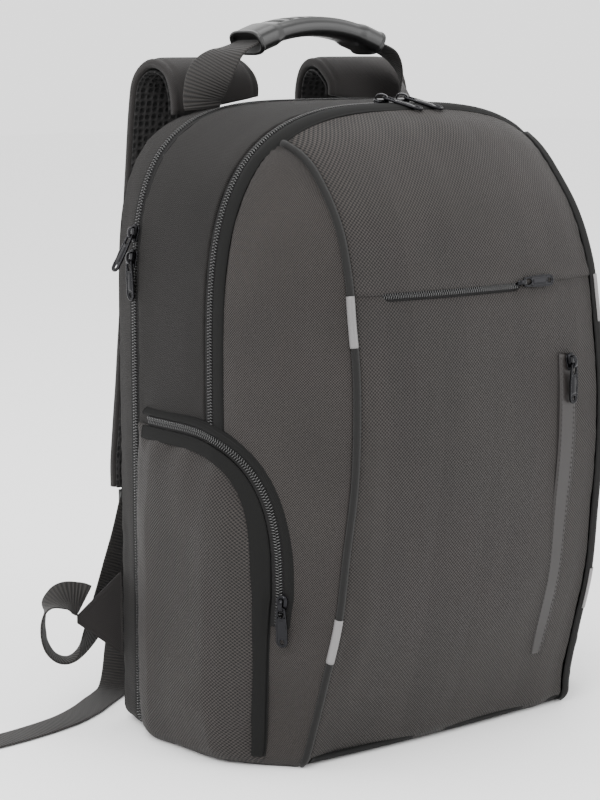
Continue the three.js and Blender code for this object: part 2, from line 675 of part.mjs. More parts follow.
const overCoil = coilRise + seamGap; // the pocket's rim crosses the main zip
const pocketLift = pocketWall + overCoil;
const pocketColumns = [0, 0.1, 0.25, 0.42, 0.58, 0.72, 0.84, 0.92, 0.97, 1];
const pocketRows = [0.025, 0.07, 0.16, 0.34, 0.52, 0.7, 0.84, 0.93, 1];
const pocketGrid = pocketRows.map((b) => pocketColumns.map((a) => pocketPoint(a, b, pocketLift)));
addPair("side_pocket", slab(pocketGrid, pocketWall, bagMiddle), "jacquard");

// The pocket's zip follows its arch, just outside the pocket's rim.
const pocketZipOut = zipHalf + 0.8;
const archPoints = [...steps(0.12, 0.84, 7), 0.92, 0.965, 0.99].map((a) => {
  const z = pocketHeight(a);
  const y = pocketRear + (pocketFrontAt(z) - pocketRear) * a;
  return new THREE.Vector2(y, z);
});
for (const below of [6, 22]) {
  archPoints.push(new THREE.Vector2(pocketFrontAt(pocketShoulder - below), pocketShoulder - below));
}
const pocketZipPoints = archPoints.map((p, i) => {
  const along = new THREE.Vector2()
    .subVectors(archPoints[Math.min(i + 1, archPoints.length - 1)], archPoints[Math.max(i - 1, 0)])
    .normalize();
  const y = p.x + along.y * pocketZipOut;
  const z = p.y - along.x * pocketZipOut;
  return new THREE.Vector3(-flankHalf(y, z) - zipTape - overCoil, y, z);
});
function zipAcross(points, i) {
  const along = new THREE.Vector3()
    .subVectors(points[Math.min(i + 1, points.length - 1)], points[Math.max(i - 1, 0)])
    .normalize();
  const step = 1;
  const p = points[i];
  const toFront = new THREE.Vector3(flankHalf(p.y + step, p.z) - flankHalf(p.y, p.z), -step, 0);
  const up = new THREE.Vector3(flankHalf(p.y, p.z) - flankHalf(p.y, p.z + step), 0, step);
  return along.cross(toFront.cross(up)).normalize();
}
const pocketZipFrames = framesAlong(pocketZipPoints, (i) => zipAcross(pocketZipPoints, i));
if (pocketZipFrames[2].out.x > 0) pocketZipFrames.forEach((f) => f.out.negate());
addPair("side_pocket_zip", carry(() => zipSection, pocketZipFrames), "zip");

// The upright pocket's welt on the lower front panel
const stripTable = [
  { height: 0, left: 0.39, width: 0.3 },
  { height: 0.12, left: 0.47, width: 0.45 },
  { height: 0.34, left: 0.56, width: 0.8 },
  { height: 0.6, left: 0.58, width: 1 },
  { height: 1, left: 0.583, width: 1 },
];
function frontNormal(v, s) {
  const step = 0.01;
  const along = new THREE.Vector3().subVectors(frontPoint(v + step, s), frontPoint(v - step, s));
  const across = new THREE.Vector3().subVectors(frontPoint(v, s + step), frontPoint(v, s - step));
  return across.cross(along).normalize();
}
function onFront(x, z, lift) {
  const v = frontShare(z);
  const s = x / frontPoint(v, 1).x;
  return frontPoint(v, s).addScaledVector(frontNormal(v, s), lift);
}
function stripPoint(share, across, lift) {
  const row = lookUp(stripTable, "height", share);
  const half = pipingAt(frontZipHeight).half;
  const x = row.left * half + across * row.width * stripWidth;
  return onFront(x, stripBottom + (stripTop - stripBottom) * share, lift);
}
const stripLift = stripThick + 2 * seamGap;
const stripGrid = steps(0, 1, 10).map((share) =>
  steps(0, 1, 2).map((across) => stripPoint(share, across, stripLift)),
);
addPiece("front_welt", slab(stripGrid, stripThick, bagMiddle), "coated");

// The horizontal zip lies behind its slot, clear of the panels' walls.
const frontZipBack = fabric + coilRise + 2 * seamGap;
const frontZipPoints = steps(-0.86, 0.86, 10).map((s) =>
  onFront(s * pipingAt(frontZipHeight).half, frontZipHeight, -frontZipBack),
);
zipAlong("front_pocket_zip", frontZipPoints, () => new THREE.Vector3(0, 0, 1));

// Shoulder straps: a foam pad with spacer mesh on its wearer's side
const strapSteps = 24;
const strapNumbered = strapTable.map((row, i) => ({ at: i, ...row }));
const strapRows = steps(0, strapTable.length - 1, strapSteps).map((at) => lookUp(strapNumbered, "at", at));
const strapPoints = strapRows.map(
  (row) =>
    new THREE.Vector3(
      -row.side * bagHalfWidth,
      backDepth + seamGap + backPadding + row.back * backDepth,
      row.height * bagHeight,
    ),
);
const strapFrames = framesAlong(
  strapPoints,
  (i) => new THREE.Vector3(-1, 0, -strapRows[i].tilt),
  () => true,
);

function paddedSection(half, low, high, chamfer) {
  return [
    [-half + chamfer, low],
    [half - chamfer, low],
    [half, low + chamfer],
    [half, high - chamfer],
    [half - chamfer, high],
    [-half + chamfer, high],
    [-half, high - chamfer],
    [-half, low + chamfer],
  ];
}
const strapHalf = (i) => strapRows[i].half * bagHalfWidth;
const meshInset = 2;
const pad = carry((i) => paddedSection(strapHalf(i), 0, strapThick, 2.5), strapFrames);
const lining = carry(
  (i) => paddedSection(strapHalf(i) - meshInset, -meshThick - seamGap, -seamGap, 0.8),
  strapFrames,
);
addPair("strap_pad", pad, "webbing");
addPair("strap_mesh", lining, "mesh");

// Handle: one webbing from seam to seam through a moulded grip
const gripRadius = (gripHalfSpan ** 2 + gripSag ** 2) / (2 * gripSag);
const gripAngle = Math.asin(gripHalfSpan / gripRadius);
const gripMiddle = bagHeight + gripRise - gripThick / 2;

function gripPoint(angle) {
  return new THREE.Vector3(
    gripRadius * Math.sin(angle),
    handleY,
    gripMiddle - gripRadius * (1 - Math.cos(angle)),
  );
}
const gripSteps = 14;
const acrossGrip = new THREE.Vector3(0, -1, 0);
const gripPoints = steps(-gripAngle, gripAngle, gripSteps).map(gripPoint);

function legPoint(row, side) {
  const x = gripHalfSpan + row.side * tableStep;
  const y = handleY + row.y * tableStep;
  return new THREE.Vector3(side * x, y, crownHeight(y, x) + row.up * tableStep);
}
const leftLeg = handleLeg.map((row) => legPoint(row, -1));
const rightLeg = handleLeg.map((row) => legPoint(row, 1)).reverse();
const leftAcross = handleLeg.map((row) => new THREE.Vector3(row.ax, row.ay, row.az));
const rightAcross = handleLeg
  .map((row) => new THREE.Vector3(-row.rightAx, row.rightAy, row.az))
  .reverse();
const handlePoints = [...leftLeg, ...gripPoints, ...rightLeg];
const handleAcross = [...leftAcross, ...gripPoints.map(() => acrossGrip), ...rightAcross];

function flatSection(width, thickness) {
  return [
    [-width / 2, -thickness / 2],
    [width / 2, -thickness / 2],
    [width / 2, thickness / 2],
    [-width / 2, thickness / 2],
  ];
}
const lastHandleRow = handlePoints.length - 1;
const sewnEnd = (i) => i === 0 || i === lastHandleRow;
const handleFrames = framesAlong(handlePoints, (i) => handleAcross[i], sewnEnd);
const handleSection = flatSection(handleWebbing, handleWebbingThick);
addPiece("handle_webbing", carry(() => handleSection, handleFrames), "webbing");

const gripTable = [
  { at: -1, wide: 1.1, thick: 1.2 },
  { at: -0.75, wide: 1.06, thick: 1.12 },
  { at: -0.6, wide: 1, thick: 1 },
  { at: 0.6, wide: 1, thick: 1 },
  { at: 0.75, wide: 1.06, thick: 1.12 },
  { at: 1, wide: 1.1, thick: 1.2 },
];
const gripSides = 12;
const gripFrames = framesAlong(gripPoints, () => acrossGrip);
const gripBody = carry((i) => {
  const row = lookUp(gripTable, "at", (2 * i) / gripSteps - 1);
  return roundSection(1, gripSides).map(([a, b]) => [
    (Math.sign(a) * Math.sqrt(Math.abs(a)) * row.wide * gripWidth) / 2,
    (Math.sign(b) * Math.abs(b) ** 0.8 * row.thick * gripThick) / 2,
  ]);
}, gripFrames);
const slotPoints = steps(-1.2 * gripAngle, 1.2 * gripAngle, gripSteps).map(gripPoint);
const slotFrames = framesAlong(slotPoints, () => acrossGrip);
const slotSection = flatSection(handleWebbing + 3 * seamGap, handleWebbingThick + 6 * seamGap);
let grip = solidOf(gripBody).subtract(solidOf(carry(() => slotSection, slotFrames)));
for (const angle of steps(-0.52 * gripAngle, 0.52 * gripAngle, gripGrooves - 1)) {
  const groove = new THREE.BoxGeometry(gripGroove, 0.55 * gripWidth, 2 * gripGrooveDepth);
  groove.translate(0, 0, gripRadius + gripThick / 2);
  groove.rotateY(angle);
  groove.translate(0, handleY, gripMiddle - gripRadius);
  grip = grip.subtract(solidOf(groove));
}
addPiece("handle_grip", geometryOf(grip), "rubber");

// Wings: folded triangles of cloth at the lower rear seams
const wingShape = new THREE.Shape([
  new THREE.Vector2(0, wingLow),
  new THREE.Vector2(wingReach, wingTip - 2),
  new THREE.Vector2(wingReach, wingTip + 2),
  new THREE.Vector2(0, wingHigh),
]);
const wingPlate = new THREE.ExtrudeGeometry(wingShape, { depth: wingThick, bevelEnabled: false });
wingPlate.rotateX(Math.PI / 2);
wingPlate.rotateZ(wingLean);
wingPlate.translate(sideHalf(backDepth, wingTip) + 2 * seamGap, backDepth + wingThick + 2 * seamGap, 0);
const wingLeft = mirrored(new THREE.BufferGeometry().copy(mergeVertices(wingPlate)));
addPiece("wing_left", wingLeft, "webbing");
addPiece("wing_right", wingPlate, "webbing");

// Lower webbing and its tails
const wingTipX = sideHalf(backDepth, wingTip) + 2 * seamGap + wingReach * Math.cos(wingLean);
const wingTipY = backDepth + wingThick + 2 * seamGap + wingReach * Math.sin(wingLean);
const strapEnd = strapPoints.at(-1);
const webbingTies = {
  wing: new THREE.Vector3(wingTipX, wingTipY, wingTip),
  strap: new THREE.Vector3(-strapEnd.x, strapEnd.y, strapEnd.z),
  floor: new THREE.Vector3(-strapEnd.x, strapEnd.y, webbingThick / 2 + seamGap),
};
function webbingAlong(name, route, side) {
  const numbered = route.map((row, i) => {
    const tie = webbingTies[row.tie];
    const x = side * tie.x + row.x * tableStep;
    const y = tie.y + row.y * tableStep;
    return { at: i, x, y, z: tie.z + row.z * tableStep, ax: row.ax, ay: row.ay, az: row.az };
  });
  const rows = steps(0, route.length - 1, 2 * (route.length - 1)).map((at) => lookUp(numbered, "at", at));
  const points = rows.map((row) => new THREE.Vector3(row.x, row.y, row.z));
  const frames = framesAlong(points, (i) => new THREE.Vector3(rows[i].ax, rows[i].ay, rows[i].az));
  addPiece(name, carry(() => flatSection(webbing, webbingThick), frames), "webbing");
}
webbingAlong("lower_webbing_left", loopRoute, -1);
webbingAlong("webbing_tail_left", tailRoute, -1);
webbingAlong("lower_webbing_right", rightRoute, 1);
webbingAlong("webbing_tail_right", rightTail, 1);

// Ladder locks under the straps' lower ends
function rectangle(halfWide, middle, halfHigh) {
  return [
    new THREE.Vector2(-halfWide, middle - halfHigh),
    new THREE.Vector2(halfWide, middle - halfHigh),
    new THREE.Vector2(halfWide, middle + halfHigh),
    new THREE.Vector2(-halfWide, middle + halfHigh),
  ];
}
const lockShape = new THREE.Shape(rectangle(lockWidth / 2, 0, lockHeight / 2));
for (const z of [-0.3 * lockHeight, 0.2 * lockHeight]) {
  lockShape.holes.push(new THREE.Path(rectangle(webbing / 2 + seamGap, z, lockSlot / 2)));
}
const lockPlate = new THREE.ExtrudeGeometry(lockShape, { depth: lockThick, bevelEnabled: false });
lockPlate.rotateX(Math.PI / 2);
lockPlate.translate(-strapEnd.x, strapEnd.y + lockThick, strapEnd.z - lockHeight / 2 - lockDrop);
addPiece("ladder_lock_left", mirrored(mergeVertices(lockPlate)), "plastic");
addPiece("ladder_lock_right", lockPlate, "plastic");

// Zip sliders, each with a pull on its bridge. In a slider's own frame +X is the way the pull
// lies, +Z leads out of the cloth, and the pull turns about -Y through its eye.
const hingeRise = sliderBase + windowHeight / 2;

function box(from, to) {
  const size = to.map((value, i) => value - from[i]);
  const geometry = new THREE.BoxGeometry(...size);
  return geometry.translate(...from.map((value, i) => value + size[i] / 2));
}

function sliderSolid(width, turn) {
  const base = box([-sliderLength / 2, -width / 2, 0], [sliderLength / 2, width / 2, sliderBase]);
  const top = sliderBase + windowHeight + bridgeThick;
  const bridge = box(
    [-bridgeLength / 2, -bridgeWidth / 2, sliderBase / 2],
    [bridgeLength / 2, bridgeWidth / 2, top],
  );
  const window = box(
    [bridgeThick - bridgeLength / 2, -bridgeWidth, sliderBase],
    [bridgeLength / 2 - bridgeThick, bridgeWidth, top - bridgeThick],
  );
  return geometryOf(solidOf(base.rotateZ(turn)).add(solidOf(bridge)).subtract(solidOf(window)));
}

function pullSolid() {
  const half = pullWidth / 2;
  const tip = steps(-Math.PI / 2, Math.PI / 2, 6).map(
    (a) => new THREE.Vector2(pullReach - half + half * Math.cos(a), half * Math.sin(a)),
  );
  const heel = -pullThick / 2;
  const shape = new THREE.Shape([new THREE.Vector2(heel, half), new THREE.Vector2(heel, -half), ...tip]);
  const eye = bridgeWidth / 2 + seamGap;
  shape.holes.push(
    new THREE.Path([
      new THREE.Vector2(-heel, -eye),
      new THREE.Vector2(pullEye, -eye),
      new THREE.Vector2(pullEye, eye),
      new THREE.Vector2(-heel, eye),
    ]),
  );
  const plate = new THREE.ExtrudeGeometry(shape, { depth: pullThick, bevelEnabled: false });
  return plate.translate(0, 0, heel);
}

// Seats a slider and its pull. at is on top of the coil, way leads where the pull points, out
// leads away from the cloth, rest is the pull's lift from the cloth, and turn the base's own turn.
function addSlider(name, { at, way, out, rest = pullRest, width = sliderWidth, turn = 0 }) {
  const z = out.clone().normalize();
  const y = z.clone().cross(way).normalize();
  const x = y.clone().cross(z);
  const frame = new THREE.Matrix4().makeBasis(x, y, z);
  const slider = addPiece(`${name}_slider`, sliderSolid(width, turn), "gunmetal");
  slider.position.copy(at).addScaledVector(z, seamGap);
  slider.quaternion.setFromRotationMatrix(frame);
  const pull = addPiece(`${name}_pull`, pullSolid(), "gunmetal");
  pull.position.copy(slider.position).addScaledVector(x, barAhead).addScaledVector(z, hingeRise);
  pull.quaternion.copy(slider.quaternion).multiply(
    new THREE.Quaternion().setFromAxisAngle(new THREE.Vector3(0, -1, 0), rest),
  );
}

// A seat on a ring's left side, the pull hanging down
function sideSeat(y, z, rest) {
  const down = new THREE.Vector3(sideHalf(y, z) - sideHalf(y, z - 1), 0, -1).normalize();
  const out = new THREE.Vector3(down.z, 0, -down.x);
  const at = new THREE.Vector3(-sideHalf(y, z), y, z).addScaledVector(out, coilRise);
  return { at, way: down, out, rest };
}
addSlider("laptop_upper", sideSeat(laptopZipY, upperSliderHeight, leaningRest));
addSlider("laptop_lower", sideSeat(laptopZipY, lowerSliderHeight, pullRest));

for (const [name, x] of [
  ["main_left", -0.031 * bagHeight],
  ["main_right", 0.011 * bagHeight],
]) {
  const at = new THREE.Vector3(x, mainZipY, crownHeight(mainZipY, x) + coilRise);
  const way = new THREE.Vector3(Math.cos(topTurn), -Math.sin(topTurn), 0);
  const out = new THREE.Vector3(0, -Math.sin(topTilt), Math.cos(topTilt));
  addSlider(name, { at, way, out, turn: topTurn });
}

const pocketZipFrame = pocketZipFrames.at(-2);
const pocketSeat = {
  at: pocketZipFrame.at.clone().addScaledVector(pocketZipFrame.out, coilRise),
  way: new THREE.Vector3(0, 0, -1),
  out: pocketZipFrame.out,
};
addSlider("side_pocket_left", pocketSeat);
const toRight = new THREE.Vector3(-1, 1, 1);
addSlider("side_pocket_right", {
  at: pocketSeat.at.clone().multiply(toRight),
  way: pocketSeat.way,
  out: pocketSeat.out.clone().multiply(toRight),
});

// A seat on the front panel, lift being the height of what it slides on
function frontSeat(x, z, lift, way) {
  const out = onFront(x, z, 1).sub(onFront(x, z, 0));
  return { at: onFront(x, z, lift), way, out };
}
addSlider("front_pocket", {
  ...frontSeat(0.286 * pipingAt(frontZipHeight).half, frontZipHeight, coilRise - frontZipBack, new THREE.Vector3(1, 0, 0)),
  width: frontZipMouth - 2 * seamGap,
  rest: proppedRest,
});
const weltSlider = 0.974; // its share of the way up the welt
const weltAt = [
  stripPoint(weltSlider, 0.516, 0).x,
  stripBottom + (stripTop - stripBottom) * weltSlider,
];
addSlider("front_welt", frontSeat(...weltAt, stripLift, new THREE.Vector3(0.05, 0, -1)));

export default backpack;
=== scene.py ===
"""Looks of a laptop backpack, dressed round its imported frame.

The builders work in millimetres, in the frame's own axes: +Z up, the front panel faces -Y and the
shoulder straps are at +Y. put_mesh turns millimetres to metres, and nothing else does.
"""

import logging
import math
from collections.abc import Callable, Sequence
from dataclasses import dataclass, field
from enum import Enum

import bpy
import numpy as np
from mathutils import Matrix, Vector

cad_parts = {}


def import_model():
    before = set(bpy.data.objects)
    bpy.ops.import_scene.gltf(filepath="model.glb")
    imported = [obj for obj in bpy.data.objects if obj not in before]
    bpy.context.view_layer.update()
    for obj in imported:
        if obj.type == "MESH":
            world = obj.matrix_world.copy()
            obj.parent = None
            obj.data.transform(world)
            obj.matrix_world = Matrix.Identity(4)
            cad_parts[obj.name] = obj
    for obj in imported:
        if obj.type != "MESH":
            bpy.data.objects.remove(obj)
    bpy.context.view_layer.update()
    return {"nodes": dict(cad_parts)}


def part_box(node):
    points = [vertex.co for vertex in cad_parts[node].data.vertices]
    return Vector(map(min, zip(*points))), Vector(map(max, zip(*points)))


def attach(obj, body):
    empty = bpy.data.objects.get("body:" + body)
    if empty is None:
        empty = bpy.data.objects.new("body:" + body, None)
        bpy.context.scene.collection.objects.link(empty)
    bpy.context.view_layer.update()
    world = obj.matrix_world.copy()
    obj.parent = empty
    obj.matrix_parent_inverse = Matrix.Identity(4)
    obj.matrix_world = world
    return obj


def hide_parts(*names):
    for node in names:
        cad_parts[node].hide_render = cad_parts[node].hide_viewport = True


LOG = logging.getLogger("backpack")
MM = 0.001
Array = np.ndarray
RIGHT, FORWARD, UP = np.array([1.0, 0.0, 0.0]), np.array([0.0, -1.0, 0.0]), np.array([0.0, 0.0, 1.0])
# The left side as it is built, and the right one as its mirror image
SIDES = (("left", np.array([1, 1, 1])), ("right", np.array([-1, 1, 1])))


class Body(Enum):
    """The bodies that pieces ride on; a pull has its own, named for it."""

    BAG = "bag"


# Numbers and curves


def unit(vectors: Array) -> Array:
    """Scales each vector to length one."""
    return vectors / np.maximum(np.linalg.norm(vectors, axis=-1, keepdims=True), 1e-9)


def smooth_step(x: Array) -> Array:
    """Rises from 0 to 1 as 3x squared minus 2x cubed."""
    t = np.clip(x, 0, 1)
    return t * t * (3 - 2 * t)


def soft_noise(points: Array, size: float, seed: int, stretch: Sequence[float] = (1, 1, 1)) -> Array:
    """Smooth noise, the sum of 20 sine waves in random directions.

    Args:
        points: Any array of points, in millimetres.
        size: The usual length of a wave.
        seed: The waves' own seed.
        stretch: How much longer the waves are along X, Y and Z.

    Returns:
        Values mostly between -1.5 and 1.5, one for each point.
    """
    rng = np.random.default_rng(seed)
    ways = unit(rng.normal(size=(20, 3))) / np.asarray(stretch, float)
    waves = ways * (2 * math.pi / size) * rng.uniform(0.6, 1.6, (20, 1))
    return np.sin(points @ waves.T + rng.uniform(0, 2 * math.pi, 20)).sum(-1) / math.sqrt(20)


@dataclass(frozen=True)
class Curve:
    """A smooth curve through rows of (at, value), as cubic pieces whose slopes follow both neighbours."""

    at: tuple[float, ...]
    value: tuple[float, ...]

    def __call__(self, x: Array | float) -> Array:
        """Reads the curve at x: cubic Hermite between rows, held at both ends."""
        at, value = np.asarray(self.at), np.asarray(self.value)
        i = np.clip(np.searchsorted(at, x, side="left") - 1, 0, len(at) - 2)
        low, high = np.maximum(i - 1, 0), np.minimum(i + 2, len(at) - 1)
        span = at[i + 1] - at[i]
        t = np.clip((np.asarray(x, float) - at[i]) / span, 0, 1)
        before = (value[i + 1] - value[low]) / (at[i + 1] - at[low])
        after = (value[high] - value[i]) / (at[high] - at[i])
        start = (2 * t**3 - 3 * t**2 + 1) * value[i]
        end = (3 * t**2 - 2 * t**3) * value[i + 1]
        return start + end + ((t**3 - 2 * t**2 + t) * before + (t**3 - t**2) * after) * span


def smooth_path(rows: Sequence[Sequence[float]], spacing: float) -> Array:
    """Carries rows of numbers along a smooth curve, evenly spaced by the length of its first three.

    Args:
        rows: At least three columns x, y, z, and any more that go with them.
        spacing: Distance between the points that come out.

    Returns:
        An array of points with all the columns.
    """
    table = np.asarray(rows, float)
    index = np.arange(len(table), dtype=float)
    fine = np.linspace(0, len(table) - 1, 40 * len(table))
    dense = np.stack([Curve(tuple(index), tuple(c))(fine) for c in table.T], -1)
    length = np.concatenate([[0], np.cumsum(np.linalg.norm(np.diff(dense[:, :3], axis=0), axis=1))])
    even = np.linspace(0, length[-1], max(int(round(length[-1] / spacing)), 4) + 1)
    return np.stack([np.interp(even, length, c) for c in dense.T], -1)


def run_length(points: Array) -> Array:
    """Distance along a line of points, from its first."""
    return np.concatenate([[0], np.cumsum(np.linalg.norm(np.diff(points, axis=0), axis=1))])


# Meshes


def quad_faces(rows: int, columns: int, closed_columns: bool = False, closed_rows: bool = False) -> Array:
    """Faces of a grid whose points run row by row.

    Args:
        rows: Points down the grid.
        columns: Points across it.
        closed_columns: Whether each row closes on itself.
        closed_rows: Whether the last row joins the first.

    Returns:
        An array of four point numbers a face.
    """
    i = np.arange(rows if closed_rows else rows - 1)[:, None]
    j = np.arange(columns if closed_columns else columns - 1)[None, :]
    below, right = (i + 1) % rows, (j + 1) % columns
    corners = [i * columns + j, below * columns + j, below * columns + right, i * columns + right]
    return np.stack(np.broadcast_arrays(*corners), -1).reshape(-1, 4)


def grid_normals(grid: Array, away_from: Sequence[float]) -> Array:
    """Normals of a grid of points, the cross product of its two slopes, turned away from a point."""
    normals = unit(np.cross(np.gradient(grid, axis=0), np.gradient(grid, axis=1)))
    outward = ((grid - np.asarray(away_from, float)) * normals).sum(-1)
    return normals * (1 if outward.mean() > 0 else -1)


def put_mesh(name: str, points: Array, faces: Sequence, uv: Array | None = None) -> bpy.types.Object:
    """Makes a smooth mesh object from points in millimetres, its faces turned out if it is closed.

    Args:
        name: The object's name.
        points: Point rows, any leading shape.
        faces: Faces as arrays or tuples of point numbers.
        uv: Two lengths in millimetres for each point, or None.

    Returns:
        The object, at the origin, with its place in its mesh.
    """
    flat = np.asarray(points, float).reshape(-1, 3)
    listed = [list(map(int, f)) for f in faces]
    first = np.array([f[:3] for f in listed])
    a, b, c = (flat[first[:, k]] for k in range(3))
    if (a * np.cross(b, c)).sum() < 0:
        listed = [f[::-1] for f in listed]
    mesh = bpy.data.meshes.new(name)
    mesh.from_pydata((flat * MM).tolist(), [], listed)
    mesh.validate()
    mesh.shade_smooth()
    if uv is not None:
        loops = np.zeros(len(mesh.loops), np.int32)
        mesh.loops.foreach_get("vertex_index", loops)
        layer = mesh.uv_layers.new(name="cloth")
        layer.data.foreach_set("uv", (np.asarray(uv, float).reshape(-1, 2)[loops] * MM).ravel())
    mesh.update()
    made = bpy.data.objects.new(name, mesh)
    bpy.context.scene.collection.objects.link(made)
    return made


def joined(parts: Sequence[tuple[Array, Sequence, Array]]) -> tuple[Array, list, Array]:
    """Joins several (points, faces, uv) into one, the face numbers moved on."""
    points, faces, uvs, start = [], [], [], 0
    for part_points, part_faces, part_uv in parts:
        flat = np.asarray(part_points, float).reshape(-1, 3)
        points.append(flat)
        uvs.append(np.asarray(part_uv, float).reshape(-1, 2))
        faces.extend([[int(v) + start for v in f] for f in part_faces])
        start += len(flat)
    return np.concatenate(points), faces, np.concatenate(uvs)


def cloth_uv(grid: Array) -> Array:
    """Lengths along a grid's middle row and middle column, as a cloth's own two directions."""
    down = run_length(grid[:, grid.shape[1] // 2])
    across = run_length(grid[grid.shape[0] // 2])
    return np.stack(np.broadcast_arrays(across[None, :], down[:, None]), -1)


def shell(outer: Array, inner: Array) -> tuple[Array, list, Array]:
    """Closes two grids of the same shape into one body: both faces and the rim between them."""
    rows, columns = outer.shape[:2]
    face = quad_faces(rows, columns)
    count = rows * columns
    index = np.arange(count).reshape(rows, columns)
    rim = np.concatenate([index[0], index[1:, -1], index[-1, -2::-1], index[-2:0:-1, 0]])
    after = np.roll(rim, -1)
    walls = np.stack([rim, after, after + count, rim + count], -1)
    faces = [*face, *(face[:, ::-1] + count), *walls[:, ::-1]]
    uv = cloth_uv(outer)
    return np.stack([outer, inner]), faces, np.stack([uv, uv])


@dataclass(frozen=True)
class Frames:
    """Places along a path, each with the directions across it, out of it and along it."""

    at: Array
    across: Array
    out: Array
    along: Array

    @staticmethod
    def on(points: Array, across: Array, closed: bool = False) -> "Frames":
        """Frames on a line of points: along is its slope, across is squared to it, out completes them."""
        if closed:
            along = unit(np.roll(points, -1, 0) - np.roll(points, 1, 0))
        else:
            along = unit(np.gradient(points, axis=0))
        wide = np.broadcast_to(across, points.shape)
        wide = unit(wide - along * (wide * along).sum(-1, keepdims=True))
        return Frames(points, wide, np.cross(along, wide), along)

    def place(self, local: Array) -> Array:
        """Puts local points, shaped (frames, points, 3) as across, out, along, into space."""
        ways = (self.across, self.out, self.along)
        terms = [way[:, None, :] * local[..., k : k + 1] for k, way in enumerate(ways)]
        return self.at[:, None, :] + terms[0] + terms[1] + terms[2]


def carry(frames: Frames, section: Array, closed: bool = False) -> tuple[Array, list, Array]:
    """Carries a closed section along frames.

    Args:
        frames: The places along the path.
        section: (points, 2), or (frames, points, 2) where it changes on the way.
        closed: Whether the path closes on itself.

    Returns:
        Points, faces and uv, the uv running round the section and along the path.
    """
    rows = len(frames.at)
    local = np.broadcast_to(section, (rows, *np.shape(section)[-2:]))
    points = frames.place(np.concatenate([local, np.zeros((*local.shape[:2], 1))], -1))
    columns = local.shape[1]
    faces = list(quad_faces(rows, columns, closed_columns=True, closed_rows=closed))
    if not closed:
        faces.append(np.arange(columns))
        faces.append(np.arange(columns)[::-1] + (rows - 1) * columns)
    round_it = run_length(np.concatenate([local[rows // 2], local[rows // 2][:1]]))[:-1]
    down = run_length(frames.at)
    uv = np.stack(np.broadcast_arrays(round_it[None, :], down[:, None]), -1)
    return points, faces, uv


def signed_power(values: Array, power: float) -> Array:
    """Raises the size of each value to a power and keeps its sign."""
    return np.sign(values) * np.abs(values) ** power


def rounded_section(width: float, height: float, power: float = 4, count: int = 24) -> Array:
    """A superellipse: x is width/2 times the signed 2/power of a cosine, y the same of a sine."""
    angle = np.linspace(0, 2 * math.pi, count, endpoint=False)
    x, y = signed_power(np.cos(angle), 2 / power), signed_power(np.sin(angle), 2 / power)
    return np.stack([x * width / 2, y * height / 2], -1)


def ribbon_section(width: float, thick: float) -> Array:
    """Webbing's section: flat faces and selvedges a little thinner than its middle."""
    half, t = width / 2, thick / 2
    x = np.array([-1, -0.97, -0.9, -0.5, 0, 0.5, 0.9, 0.97, 1]) * half
    y = np.array([0.15, 0.75, 0.9, 1, 1, 1, 0.9, 0.75, 0.15]) * t
    return np.concatenate([np.stack([x, y], -1), np.stack([x, -y], -1)[::-1]])


# Materials


def linear(hex_colour: str) -> tuple[float, float, float, float]:
    """Turns an sRGB hex colour to linear light."""
    values = [int(hex_colour[i : i + 2], 16) / 255 for i in (1, 3, 5)]
    return (*(v / 12.92 if v <= 0.04045 else ((v + 0.055) / 1.055) ** 2.4 for v in values), 1.0)


def add_node(
    tree: bpy.types.NodeTree,
    kind: str,
    inputs: dict,
    **settings,
) -> bpy.types.bpy_prop_collection:
    """Adds a node with its settings and its links.

    Args:
        tree: The material's node tree.
        kind: The node's type name.
        inputs: A socket's name or number, and the output linked to it or its plain value.
        **settings: Attributes of the node itself.

    Returns:
        The new node's outputs.
    """
    node = tree.nodes.new(kind)
    for key, value in settings.items():
        setattr(node, key, value)
    for key, value in inputs.items():
        if isinstance(value, bpy.types.NodeSocket):
            tree.links.new(value, node.inputs[key])
        else:
            node.inputs[key].default_value = value
    return node.outputs


MATH, NOISE = "ShaderNodeMath", "ShaderNodeTexNoise"
PLACE, RANGE = "ShaderNodeTexCoord", "ShaderNodeMapRange"


